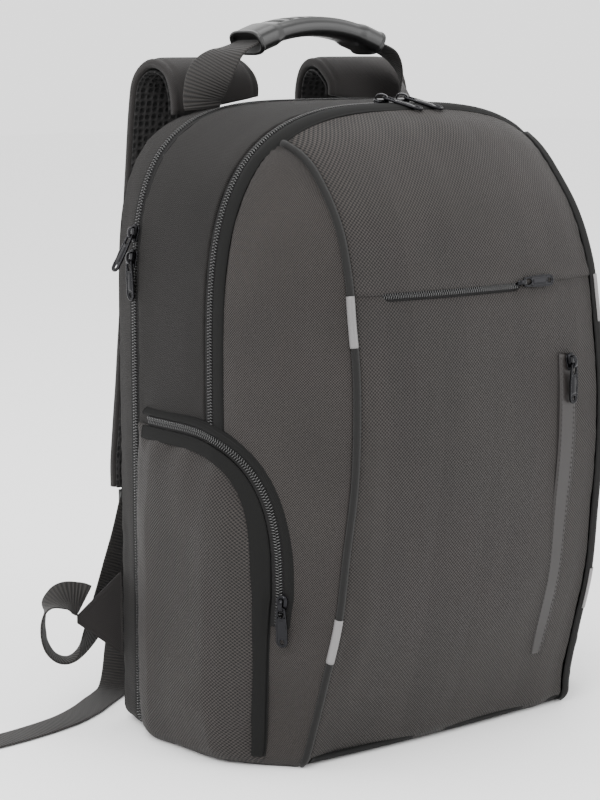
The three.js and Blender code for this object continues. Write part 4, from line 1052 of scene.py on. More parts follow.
@dataclass
class Zip:
    """A coil zip: tape, and two rows of coil turns that lean into each other."""

    tape_width: float = 13
    tape_thick: float = 0.7
    coil_width: float = 5.2
    coil_rise: float = 1.5
    pitch: float = 2.1

    def coil(self, frames: Frames) -> tuple[Array, Sequence, Array]:
        """Two rows of slanted turns, half a pitch apart.

        A turn is a seven-sided bar of four rings, from the row's outer side to past the middle. It
        leans along the zip by 0.3 of a pitch, and sits highest in the middle of its row.
        """
        length = run_length(frames.at)
        angle = np.linspace(0, 2 * math.pi, 7, endpoint=False)
        ring_x = np.array([0.5, 0.38, 0.12, -0.04]) * self.coil_width
        ring_y = np.array([0.25, 0.72, 0.62, 0.2]) * self.coil_rise
        radius = np.array([0.7, 1.0, 1.0, 0.7]) * self.pitch * 0.23
        lean = np.array([-0.15, -0.05, 0.1, 0.15]) * self.pitch
        parts = []
        for row, sign in enumerate((1, -1)):
            centres = np.arange(self.pitch * (0.5 + row / 2), length[-1] - self.pitch / 2, self.pitch)
            given = (frames.at, frames.across, frames.out, frames.along)
            sample = [np.stack([np.interp(centres, length, c) for c in d.T], -1) for d in given]
            x = sign * (ring_x[:, None] + 0 * angle)
            y = ring_y[:, None] + radius[:, None] * np.sin(angle)
            z = lean[:, None] + radius[:, None] * np.cos(angle)
            local = [v.reshape(1, -1, 1) for v in (x, y, z)]
            made = sample[0][:, None] + sum(sample[k + 1][:, None] * local[k] for k in range(3))
            one = [*quad_faces(4, 7, closed_columns=True), np.arange(7)[::-1], np.arange(7) + 21]
            one = [f if sign < 0 else f[::-1] for f in one]
            faces = [f + 28 * k for k in range(len(centres)) for f in one]
            parts.append((made, faces, np.zeros((len(centres) * 28, 2))))
        return joined(parts)

    def build(self, name: str, points: Array, across: Array, *nodes: str) -> Frames:
        """Builds the tape and the coil along a line of points on the tape's outer face.

        Args:
            name: Start of the pieces' names.
            points: The line, from end to end.
            across: The direction across the zip, one or one a point.
            *nodes: The CAD nodes that the tape stands for.

        Returns:
            The zip's frames, out pointing away from the cloth.
        """
        frames = Frames.on(points, across)
        if ((frames.at - np.array(SHAPE.middle)) * frames.out).sum() < 0:
            frames = Frames(frames.at, -frames.across, -frames.out, frames.along)
        flat = ribbon_section(self.tape_width, self.tape_thick) - np.array([0, self.tape_thick / 2])
        dress(f"{name}_tape", carry(frames, flat), FINISH.tape, *nodes)
        dress(f"{name}_coil", self.coil(frames), FINISH.coil)
        return frames


@dataclass
class BodyZips:
    """The rear and main zips over the crown, and the front pocket's zip behind its mouth."""

    rear: float = 82
    main: float = -6
    zip: Zip = field(default_factory=Zip)

    def build(self) -> None:
        """Builds the three zips."""
        for name, y, low in (("laptop_zip", self.rear, 4.0), ("main_zip", self.main, 24.0)):
            line = SHAPE.ring_grid(np.array([y]), low=low, side_step=2, crown_steps=140)[0]
            self.zip.build(name, smooth_path(line, 1.6), np.array([0.0, 1.0, 0.0]), name)
        line = FrontPanels().seam_line(np.linspace(-98, 98, 90), -1.4) - np.array([0, 0, 1.8])
        small = Zip(tape_width=15, coil_width=4.6, coil_rise=1.3, pitch=1.9)
        small.build("front_pocket_zip", line, UP, "front_pocket_zip")


@dataclass
class MainFacing:
    """The smooth strip in front of the main zip, from the base up over the crown and down again."""

    rear: float = -8.6
    front: float = -18.5
    crown_share: float = 0.992
    proud: float = 0.9

    def front_line(self) -> Array:
        """The strip's front edge: up the left gusset, over the front panel's top, and down."""
        z = np.arange(12, 421, 4.0)
        side = np.stack([-SHAPE.flank(np.full_like(z, self.front), z), np.full_like(z, self.front), z], -1)
        over = SHAPE.front(np.full(60, self.crown_share), np.linspace(-0.95, 0.95, 60))
        line = np.concatenate([side, over, side[::-1] * np.array([-1, 1, 1])])
        return smooth_path(line, 2.2)

    def build(self) -> None:
        """Builds the strip between its two edges.

        Both edges are read at the same shares of their lengths. Between them, at a share t, the
        strip stands proud by its thickness times the fourth root of 4t(1 - t), and by the sine of
        a half turn of t: 0.4 mm of it on the sides, and 1.6 mm over the crown.
        """
        front = self.front_line()
        ring = SHAPE.ring_grid(np.array([self.rear]), low=12, side_step=3, crown_steps=120)[0]
        rear = smooth_path(ring, 2.0)
        share = np.linspace(0, 1, 520)
        lines = []
        for line in (rear, front):
            length = run_length(line)
            lines.append(np.stack([np.interp(share, length / length[-1], c) for c in line.T], -1)[:, None])
        t = np.linspace(0, 1, 10)[None, :, None]
        base = lines[0] + (lines[1] - lines[0]) * t
        normals = grid_normals(base, SHAPE.middle)
        crown = smooth_step((base[..., 2:] - 380) / 40)
        lift = self.proud * np.clip(4 * t * (1 - t), 0, 1) ** 0.25
        lift = lift + (0.4 + 1.2 * crown) * np.sin(math.pi * t)
        dress("main_zip_facing", shell(base + normals * (lift + 0.2), base - normals * 1.6), FINISH.facing)


@dataclass
class Piping:
    """The corded edges of the front panel, each with two reflective sleeves."""

    radius: float = 2.5
    proud: float = 1.4
    sleeves: tuple[tuple[str, float, float], ...] = (("upper", 298.5, 333.5), ("lower", 81, 113.7))

    def frames(self, low: float, high: float) -> Frames:
        """Frames down the left seam, the piping's middle proud of it towards the outer front."""
        z = np.arange(low, high, 2.0)
        half, y = SHAPE.piping(z)
        outward = np.array([-1, -1, 0]) / math.sqrt(2)
        line = np.stack([-half, y, z], -1) + outward * self.proud
        return Frames.on(line, -outward)

    def build(self) -> None:
        """Builds the cords, a bias tape round each, and the sleeves."""
        angle = np.linspace(0, 2 * math.pi, 28, endpoint=False)
        turned = np.abs((angle + math.pi) % (2 * math.pi) - math.pi)
        lobes = 0.96 + 0.36 * np.exp(-(((turned - 0.95) / 0.3) ** 2))
        section = np.stack([np.cos(angle), np.sin(angle)], -1) * (self.radius * lobes)[:, None]
        for side, flip in SIDES:
            frames = self.frames(2.4, SHAPE.tip - 1.5)
            dress(f"piping_{side}_cord", carry(frames, section), FINISH.piping, f"piping_{side}", flip=flip)
            for place, low, high in self.sleeves:
                arc = np.linspace(math.pi * 0.56, math.pi * 1.44, 22)
                outer = np.stack([np.cos(arc), np.sin(arc)], -1) * (self.radius + 0.55)
                inner = outer[::-1] * (self.radius + 0.12) / (self.radius + 0.55)
                sleeve = carry(self.frames(low, high), np.concatenate([outer, inner]))
                node = f"reflector_{place}_{side}"
                dress(f"{node}_tape", sleeve, FINISH.reflector, node, flip=flip)


# Pockets


@dataclass
class SidePocket:
    """A zipped side pocket: its puffed cloth, and the zip that follows its arch."""

    bulge: float = 11
    top: float = 229
    shoulder: float = 128
    rear: float = 74
    front: float = -54
    power: float = 3.2
    rim_lift: float = 3.3

    def height(self, a: Array) -> Array:
        """The pocket's top at a share a of the way forward: level, then a superellipse down."""
        ahead = np.clip((a - 0.3) / 0.7, 0, 1)
        return self.shoulder + (self.top - self.shoulder) * (1 - ahead**self.power) ** (1 / self.power)

    def front_at(self, z: Array) -> Array:
        """The front seam's depth at a height."""
        return self.front + 12 * (1 - np.clip(z / self.shoulder, 0, 1)) + 0.6 * SHAPE.roll(z)

    def stand(self, a: Array, b: Array) -> Array:
        """How far the cloth stands off the side at shares a forward and b up.

        That is the rim's lift and the bulge, which rises as the root of a sine forward and as a
        cosine up, and less near the base.
        """
        rise = np.minimum(1, 1.35 * np.sqrt(np.maximum(np.sin(math.pi * a), 0)))
        up = np.minimum(1, 1.25 * np.cos(math.pi / 2 * b**3))
        low = np.minimum(1, 0.35 + self.height(a) * b / 60)
        return self.rim_lift + self.bulge * rise * up * low

    def cloth(self) -> Array:
        """The pocket's cloth on the left, rows up and columns forward.

        It has gathers under the arch and folds near the lower corner.
        """
        a = np.concatenate([np.linspace(0, 0.9, 76), np.linspace(0.905, 1, 22)])[None, :]
        b = np.concatenate([np.linspace(0.006, 0.06, 8), np.linspace(0.075, 1, 84)])[:, None]
        z = self.height(a) * b
        y = self.rear + (self.front_at(z) - self.rear) * a
        stand = self.stand(a, b)
        from_arch = (1 - b) * self.height(a)
        gathers = 1.5 * np.sin(y / 5.2 + 1.4 * np.sin(z / 19)) * np.exp(-from_arch / 22)
        gathers = gathers * smooth_step(from_arch / 5)
        corner = np.exp(-(((y + 40) / 34) ** 2) - ((z - 34) / 34) ** 2)
        folds = 1.6 * corner * np.sin((z * 0.8 + y * 0.6) / 6.5)
        stand = stand + gathers * smooth_step((a - 0.05) / 0.1) + folds
        return np.stack([-SHAPE.flank(y, z) - stand, y, z], -1)

    def zip_line(self) -> Array:
        """The zip's middle on the left, 5.4 mm outside the pocket's rim, down past its shoulder."""
        a = np.concatenate([np.linspace(0.1, 0.9, 60), np.linspace(0.905, 0.998, 30)])
        z = self.height(a)
        y = self.rear + (self.front_at(z) - self.rear) * a
        low = np.arange(self.shoulder - 2, self.shoulder - 24, -3.0)
        y, z = np.concatenate([y, self.front_at(low)]), np.concatenate([z, low])
        way = unit(np.stack([np.gradient(y), np.gradient(z)], -1))
        y, z = y + way[:, 1] * 5.4, z - way[:, 0] * 5.4
        return smooth_path(np.stack([-SHAPE.flank(y, z) - 3.1, y, z], -1), 1.6)

    def arch(self, inset: Array, lowest: float) -> tuple[Array, Array]:
        """Depths and heights of lines inside the arch: a row for each place, a column for each inset.

        Args:
            inset: How far each line lies inside the arch, its outside below nought.
            lowest: Height where the lines end, below the arch's shoulder.

        Returns:
            The lines' depths and their heights.
        """
        a = np.concatenate([np.linspace(0.06, 0.9, 60), np.linspace(0.905, 0.998, 34)])
        y, z = self.rear + (self.front_at(self.height(a)) - self.rear) * a, self.height(a)
        low = np.arange(self.shoulder - 2, lowest, -3.0)
        y, z = np.concatenate([y, self.front_at(low)]), np.concatenate([z, low])
        line = smooth_path(np.stack([y, z], -1), 2.0)
        way = unit(np.gradient(line, axis=0))
        narrow = np.where(np.max(inset) > 0, 0.55 + 0.45 * smooth_step((line[:, 1:] - 60) / 110), 1.0)
        inset = inset * narrow
        return line[:, :1] - way[:, 1:] * inset, line[:, 1:] + way[:, :1] * inset

    def facings(self) -> tuple[tuple[Array, Sequence, Array], tuple[Array, Sequence, Array]]:
        """The bound strip inside the zip and the lip outside it, as closed bodies on the left.

        A strip's height over its width t from 0 to 1 is its thickness times the fourth root of
        4t(1 - t); the lip leans up as a cosine and curls down to the seam.
        """
        t = np.linspace(0, 1, 9)
        round_top = np.clip(4 * t * (1 - t), 0, 1) ** 0.25
        y, z = self.arch((-1.0 + 9.0 * t)[None, :], 8)
        a = np.clip((self.rear - y) / (self.rear - self.front_at(z)), 0.001, 0.999)
        b = np.clip(z / self.height(a), 0, 1)
        base = -SHAPE.flank(y, z) - self.stand(a, b)
        inner = shell(
            np.stack([base - 0.8 * round_top - 0.9, y, z], -1),
            np.stack([base + 1.5, y, z], -1),
        )
        y, z = self.arch(-(8.2 + 5.6 * t)[None, :], 104)
        flank = -SHAPE.flank(y, z)
        lip = 4.1 * np.cos(math.pi / 2 * t**1.6) * round_top
        outer = shell(np.stack([flank - lip - 0.7, y, z], -1), np.stack([flank + 0.6, y, z], -1))
        return inner, outer

    def build(self) -> None:
        """Builds both pockets, both zips and the strips that they are sewn to."""
        grid = self.cloth()
        line = self.zip_line()
        along = unit(np.gradient(line, axis=0))
        lean = -0.62 * smooth_step((SHAPE.gusset_start - line[:, 1]) / 40)
        out = unit(np.stack([-np.ones(len(line)), lean, np.zeros(len(line))], -1))
        across = np.cross(along, out)
        for side, flip in SIDES:
            panel = ClothPanel(
                f"side_pocket_{side}_cloth",
                grid * flip,
                thick=1.4,
                turned=(False, True, True, True),
                dent=1.3,
                dent_size=80,
                pucker=0.5,
                pucker_size=11,
                seed=21,
                plan=(1, 2),
            )
            show(panel.build(), FINISH.jacquard, f"side_pocket_{side}")
            small = Zip(tape_width=14, coil_width=5.0, coil_rise=1.4, pitch=2.0)
            small.build(f"side_pocket_zip_{side}", line * flip, across * flip, f"side_pocket_zip_{side}")
            for place, strip in zip(("inner", "outer"), self.facings()):
                dress(f"side_pocket_{place}_facing_{side}", strip, FINISH.facing, flip=flip)


@dataclass
class UprightPocket:
    """The upright pocket's coated welt on the front panel, with its seam line."""

    top: float = 283
    bottom: float = 50
    width: float = 19
    left: Curve = Curve((0, 0.12, 0.34, 0.6, 1), (0.655, 0.635, 0.622, 0.597, 0.583))
    share: Curve = Curve((0, 0.12, 0.34, 0.6, 1), (0.62, 0.8, 0.86, 1, 1))

    def build(self) -> None:
        """Builds the welt as a raised strip, its right side parted by the pocket's slit."""
        up = np.linspace(0, 1, 120)[:, None]
        over = np.linspace(0, 1, 34)[None, :]
        half = SHAPE.piping(np.array(SHAPE.front_seam))[0]
        x = self.left(up) * half + over * self.share(up) * self.width
        z = self.bottom + (self.top - self.bottom) * up + 0 * over
        slit = 1.3 * np.exp(-(((over - 0.9) / 0.04) ** 2))
        edge = np.minimum(np.minimum(over, 1 - over) * 12, np.minimum(up, 1 - up) * 90)
        lift = 0.35 + 1.25 * np.sqrt(np.clip(edge, 0, 1)) - slit
        face = SHAPE.on_front(x, z, lift)
        back = SHAPE.on_front(x, z, -0.6 + 0 * lift)
        dress("front_welt_tape", shell(face, back), FINISH.coated, "front_welt")
        lines = []
        for column in (3, 26):
            line = smooth_path(face[:, column], 1.2)
            out = np.broadcast_to([0.0, -1.0, 0.0], line.shape)
            lines.append((line + out * 0.15, out))
        show(Stitching().along("front_welt_stitches", lines), FINISH.thread)


# Handle and straps


@dataclass
class Handle:
    """The carrying handle: a moulded grip on one webbing, sewn down at both ends."""

    half_span: float = 58
    sag: float = 12.5
    width: float = 34
    thick: float = 15
    depth_at: float = 96
    top: float = SHAPE.height + 62
    webbing: float = 32
    webbing_thick: float = 2
    grooves: int = 8
    groove_width: float = 4.6
    groove_depth: float = 2.6
    legs: tuple[tuple[float, ...], ...] = (
        (36, 5, 1.4, 0.93, 0, 0.4, 0.93, 0),
        (36, 4, 12, 0.93, -0.2, 0.3, 0.75, -0.62),
        (30, 2, 26, 0.8, -0.6, 0.15, 0.6, -0.78),
        (17, 0, 38, 0.45, -0.9, 0.1, 0.3, -0.95),
    )

    def arc(self, angle: Array) -> Array:
        """Points of the grip's middle line: a circle through both ends and the top."""
        radius = (self.half_span**2 + self.sag**2) / (2 * self.sag)
        rise = self.top - self.thick / 2 - radius * (1 - np.cos(angle))
        return np.stack([radius * np.sin(angle), np.full_like(angle, self.depth_at), rise], -1)

    def reach(self) -> float:
        """Half the angle that the grip spans."""
        radius = (self.half_span**2 + self.sag**2) / (2 * self.sag)
        return math.asin(self.half_span / radius)

    def grip(self) -> None:
        """Builds the grip.

        Its section is a superellipse, flared towards both ends. Across the top, eight grooves sink
        as the fourth power of a cosine along the grip, inside a raised ridge line.
        """
        reach = self.reach()
        angle = np.linspace(-reach, reach, 250)
        share = np.abs(angle / reach)[:, None]
        flare = smooth_step((share - 0.58) / 0.16)
        wide, thick = self.width * (1 + 0.1 * flare), self.thick * (1 + 0.22 * flare)
        turn = np.linspace(0, 2 * math.pi, 88, endpoint=False)[None, :]
        x = signed_power(np.cos(turn), 0.62) * wide / 2
        y = signed_power(np.sin(turn), 0.75) * thick / 2
        rim = 1 + 0.07 * np.exp(-(((share - 0.985) / 0.02) ** 2))
        step = 2 * 0.52 * reach / (self.grooves - 1)
        phase = (angle + 0.52 * reach) / step
        near = np.abs(phase - np.round(phase)) * step / reach * self.half_span
        inside = (np.round(phase) >= 0) & (np.round(phase) <= self.grooves - 1)
        cut = np.where(inside, np.clip(1 - (near / (self.groove_width / 2)) ** 4, 0, 1), 0)[:, None]
        on_top = smooth_step((0.3 * self.width - np.abs(x)) / 1.2) * (y < 0)
        ridge = 0.7 * np.exp(-(((np.abs(x) - 0.37 * self.width) / 1.1) ** 2)) * (y < 0)
        ridge = ridge * smooth_step((0.66 - share) / 0.05)
        y = y + cut * on_top * self.groove_depth - ridge
        section = np.stack([x * rim, y * rim], -1)
        low = section[0] * 0.8
        slot = np.clip(section[0], (-17, -1.7), (17, 1.7)) * (0.95, 1)
        first, last = section[0] * 0.95, section[-1] * 0.95
        rows = np.concatenate([[slot, low, first], section, [last, low, slot]])
        at = np.concatenate([[angle[0]] * 3, angle, [angle[-1]] * 3])
        places = self.arc(at)
        way = np.stack([np.cos(at), 0 * at, -np.sin(at)], -1)
        push = np.zeros(len(at))
        push[:3], push[-3:] = (4.0, 0.3, -0.5), (0.5, -0.3, -4.0)
        across = np.broadcast_to(FORWARD, way.shape)
        frames = Frames(places + way * push[:, None], across, np.cross(way, across), way)
        dress("handle_grip_moulding", carry(frames, rows), FINISH.rubber, "handle_grip")

    def strap(self) -> None:
        """Builds the webbing, from its left seam up into the grip and down to its right seam."""
        left, right = [], []
        for side, y, up, ax, ay, az, right_ax, right_ay in self.legs:
            x, depth = self.half_span + side, self.depth_at + y
            z = float(SHAPE.crown(np.array(depth), np.array(x))) + up
            left.append((-x, depth, z, ax, ay, az))
            right.insert(0, (x, depth, z, -right_ax, right_ay, az))
        arc = self.arc(np.linspace(-self.reach(), self.reach(), 15))
        middle = [(*p, 0, -1, 0) for p in arc]
        rows = smooth_path([*left, *middle, *right], 1.4)
        frames = Frames.on(rows[:, :3], rows[:, 3:])
        edge = ribbon_section(self.webbing, self.webbing_thick)
        cup = 0.9 * soft_noise(rows[:, :3], 40, 7)[:, None] * (1 - (edge[:, 0] / 16) ** 2)
        section = np.stack([np.broadcast_to(edge[:, 0], cup.shape), edge[:, 1] + cup], -1)
        dress("handle_webbing_weave", carry(frames, section), FINISH.webbing, "handle_webbing")

    def build(self) -> None:
        """Builds the grip and its webbing."""
        self.strap()
        self.grip()


@dataclass
class ShoulderStrap:
    """A padded shoulder strap: a cloth-covered foam pad with spacer mesh on the wearer's side."""

    thick: float = 8
    mesh_thick: float = 2.6
    rows: tuple[tuple[float, ...], ...] = (
        (0.437, 0.004, 0.9935, 0.234, 0.16),
        (0.437, 0.006, 1.014, 0.234, 0.1),
        (0.437, 0.055, 1.036, 0.234, 0),
        (0.443, 0.155, 1.05, 0.234, 0),
        (0.449, 0.255, 1.048, 0.234, 0),
        (0.461, 0.336, 1.028, 0.234, 0),
        (0.467, 0.364, 0.99, 0.234, 0),
        (0.491, 0.364, 0.92, 0.228, 0),
        (0.527, 0.345, 0.81, 0.222, 0),
        (0.569, 0.318, 0.7, 0.21, 0),
        (0.617, 0.3, 0.59, 0.192, 0),
        (0.671, 0.291, 0.48, 0.168, 0),
        (0.707, 0.291, 0.41, 0.15, 0),
        (0.725, 0.291, 0.366, 0.132, 0),
    )

    def path(self) -> tuple[Frames, Array]:
        """The left strap's frames on its wearer's side, and its half width at each."""
        rows = []
        for side, back, height, half, tilt in self.rows:
            place = (-side * SHAPE.half_width, 118.3 + back * SHAPE.back_depth, height * SHAPE.height)
            rows.append((*place, half * SHAPE.half_width, -tilt))
        line = smooth_path(rows, 3.0)
        across = unit(np.stack([-np.ones(len(line)), np.zeros(len(line)), line[:, 4]], -1))
        along = unit(np.gradient(line[:, :3], axis=0))
        return Frames(line[:, :3], across, unit(np.cross(along, across)), along), line[:, 3]

    def pad_section(self, half: Array, low: float, high: float, round_edge: float) -> Array:
        """A flat section with rounded sides, and a bound edge that stands a little proud."""
        turn = np.linspace(0, 2 * math.pi, 60, endpoint=False)[None, :]
        middle, tall = (low + high) / 2, (high - low) / 2
        reach = half[:, None] - round_edge
        x = reach * signed_power(np.cos(turn), 0.3) + round_edge * np.cos(turn)
        y = middle + tall * signed_power(np.sin(turn), 0.5)
        seam = 1 - 0.28 * np.exp(-(((half[:, None] - np.abs(x) - 5.5) / 1.6) ** 2))
        return np.stack([x, middle + (y - middle) * seam], -1)

    def build(self) -> None:
        """Builds both straps, the right one the left one's mirror image."""
        frames, half = self.path()
        pad = self.pad_section(half, 0.0, self.thick, 2.5)
        swell = 0.5 * soft_noise(frames.at, 70, 31)[:, None]
        pad[..., 1] += swell * smooth_step((pad[..., 1] - 4) / 3)
        lining = self.pad_section(half - 1.2, -self.mesh_thick - 0.3, -0.3, 1.2)
        for side, flip in SIDES:
            name = f"strap_{side}_cover"
            cover = dress(name, carry(frames, pad), FINISH.strap, f"strap_pad_{side}", flip=flip)
            part = carry(frames, lining)
            dress(f"strap_{side}_lining", part, FINISH.mesh, f"strap_mesh_{side}", flip=flip)


@dataclass
class LowerWebbing:
    """The wings at the lower corners, the webbing from them to the ladder locks, and its tails."""

    webbing: float = 25
    thick: float = 1.7
    reach: float = 35
    low: float = 49
    high: float = 112
    tip: float = 80
    lean: float = 0.17
    strap_end: tuple[float, float, float] = (121.1, 150.3, 166.5)
    loop: tuple[tuple[float, ...], ...] = (
        (-190.8, 119.2, 92.9, 0.74, -0.13, 0.65),
        (-195.5, 119, 95, 0.74, 0.2, 0.64),
        (-204, 120, 97.5, 0.7, 0.45, 0.6),
        (-213, 120, 96.5, 0.65, 0.6, 0.45),
        (-221.5, 120, 92, 0.6, 0.75, 0.25),
        (-225, 120, 83, 0.6, 0.8, 0),
        (-225, 120, 73, 0.6, 0.8, 0),
        (-221, 121, 63, 0.6, 0.78, -0.1),
        (-211.5, 124, 54, 0.6, 0.78, -0.2),
        (-198, 129, 49.5, 0.6, 0.72, -0.35),
        (-184, 134, 53, 0.6, 0.6, -0.5),
        (-170, 138, 67, 0.75, 0.35, -0.5),
        (-157, 141, 88, 0.9, 0.15, -0.4),
        (-147, 142, 110, 0.95, 0, -0.3),
        (-138, 143, 133, 0.97, 0, -0.25),
        (-128, 148.4, 153, 0.97, 0, -0.2),
    )
    tail: tuple[tuple[float, ...], ...] = (
        (-122, 156, 152, 1, 0, 0),
        (-122, 158.5, 125, 0.95, -0.2, 0),
        (-122, 164, 92, 0.85, -0.45, 0),
        (-123, 171, 58, 0.75, -0.6, 0),
        (-124, 176, 30, 0.7, -0.7, 0),
        (-127, 175.5, 12, 0.7, -0.7, 0),
        (-134, 170.5, 2.6, 0.65, -0.75, 0),
        (-144, 163.5, 1.1, 0.6, -0.8, 0),
        (-158, 154, 1.1, 0.55, -0.83, 0),
        (-177, 141, 1.1, 0.5, -0.86, 0),
        (-200, 129.5, 1.1, 0.4, -0.9, 0),
        (-224, 123, 1.1, 0.2, -1, 0),
        (-248, 119, 1.1, 0.15, -1, 0),
        (-272, 117, 1.1, 0.1, -1, 0),
        (-296, 116, 1.1, 0.05, -1, 0),
    )
    right: tuple[tuple[float, ...], ...] = (
        (188.6, 119, 90, -0.72, 0, 0.69),
        (195, 123, 99, -0.8, -0.2, 0.5),
        (190, 131, 110, -0.7, -0.6, 0.1),
        (172, 138, 116, -0.3, -0.6, -0.6),
        (152, 142, 122, 0.3, 0, -0.9),
        (139, 143.5, 134, 0.8, 0, -0.6),
        (128, 148.4, 153, 0.97, 0, 0.2),
    )
    right_tail: tuple[tuple[float, ...], ...] = (
        (122, 156, 152, 1, 0, 0),
        (122, 158.5, 125, 1, 0, 0),
        (123, 158, 95, 1, 0.1, 0),
        (124, 156, 65, 1, 0.2, 0),
    )

    def ribbon(self, node: str, rows: Sequence[Sequence[float]]) -> None:
        """Builds one webbing along its rows of place and width direction."""
        line = smooth_path(rows, 1.5)
        frames = Frames.on(line[:, :3], line[:, 3:])
        part = carry(frames, ribbon_section(self.webbing, self.thick))
        dress(f"{node}_weave", part, FINISH.webbing, node)

    def wing(self, side: str, flip: Array) -> None:
        """Builds a wing: a folded triangle of cloth, its edges rounded and its faces hollowed.

        A grid of u out from the seam and v up it, with height from low to high narrowing to the
        tip, and thickness that falls from 3 mm to 1.6 mm at every edge.
        """
        u = np.linspace(0, 1, 26)[:, None]
        v = np.linspace(0, 1, 34)[None, :]
        bottom = self.low + (self.tip - 3 - self.low) * u
        top = self.high + (self.tip + 3 - self.high) * u
        z = bottom + (top - bottom) * v
        out = u * self.reach + 0 * v
        edge = np.minimum(np.minimum(v, 1 - v) * (top - bottom), self.reach * (1 - u))
        half = 0.35 + 1.25 * np.sqrt(np.clip(edge / 2.5, 0, 1)) - 0.4 * np.exp(-(((edge - 4) / 1.2) ** 2))
        x = float(SHAPE.side(np.array(110.0), np.array(self.tip))) + 0.6 + out * math.cos(self.lean)
        y = 112.3 + out * math.sin(self.lean)
        slant = half * math.sin(self.lean)
        faces_of = [np.stack([x - way * slant, y + way * half, z], -1) for way in (1, -1)]
        dress(f"wing_{side}_cloth", shell(*faces_of), FINISH.strap, f"wing_{side}", flip=flip)

    def lock(self, side: str, flip: Array) -> None:
        """Builds a ladder lock: three rounded bars joined by two rounded side rails."""
        x0, y0, z0 = self.strap_end[0], self.strap_end[1] + 2, self.strap_end[2] - 2.6 - 9.5
        round_bar = rounded_section(4, 4, 3, 14)
        parts = []
        for dx in (-14.6, 14.6):
            rail = np.array([[dx, 0, -9.3], [dx, 0, -3], [dx, 0, 3], [dx, 0, 9.3]])
            parts.append(carry(Frames.on(rail, RIGHT), round_bar))
        for dz, tall in ((-8.4, 2.2), (-0.95, 3.0), (7.3, 4.2)):
            bar = np.stack([np.linspace(-15.5, 15.5, 12), np.zeros(12), np.full(12, dz)], -1)
            section = rounded_section(tall, 3.8, 3, 14)
            parts.append(carry(Frames.on(bar, UP), section))
        points, faces, uv = joined(parts)
        part = (points + np.array([x0, y0, z0]), faces, uv)
        dress(f"ladder_lock_{side}_moulding", part, FINISH.acetal, f"ladder_lock_{side}", flip=flip)

    def build(self) -> None:
        """Builds the wings, webbing and locks of both sides."""
        self.ribbon("lower_webbing_left", self.loop)
        self.ribbon("webbing_tail_left", self.tail)
        self.ribbon("lower_webbing_right", self.right)
        self.ribbon("webbing_tail_right", self.right_tail)
        # Both are built on the right, so it is the left one that is flipped
        for (side, _), (_, flip) in zip(SIDES, reversed(SIDES)):
            self.wing(side, flip)
            self.lock(side, flip)


# Sliders and pulls


@dataclass
class Seat:
    """Where a slider sits: on top of its coil, with the way its pull lies and the way out."""

    name: str
    at: Array
    way: Array
    out: Array
    rest: float = -0.11
    width: float = 8.5
    turn: float = 0.0
    lift: float = 0.3
    bar_ahead: float = 1.5
    bar_rise: float = 3.7

    def basis(self) -> tuple[Array, Array, Array]:
        """The slider's own axes: x the way the pull lies, y across it, z out of the cloth."""
        z = unit(self.out)
        y = unit(np.cross(z, self.way))
        return np.cross(y, z), y, z

    def slider_points(self, local: Array) -> Array:
        """Places points of the slider."""
        x, y, z = self.basis()
        return self.at + z * self.lift + local[..., :1] * x + local[..., 1:2] * y + local[..., 2:3] * z

    def pull_points(self, local: Array) -> Array:
        """Places points of the pull, turned about its bar by its rest angle."""
        c, s = math.cos(self.rest), math.sin(self.rest)
        x, z = local[..., 0], local[..., 2]
        ahead, rise = x * c - z * s + self.bar_ahead, x * s + z * c + self.bar_rise
        turned = np.stack([ahead, local[..., 1], rise], -1)
        return self.slider_points(turned)


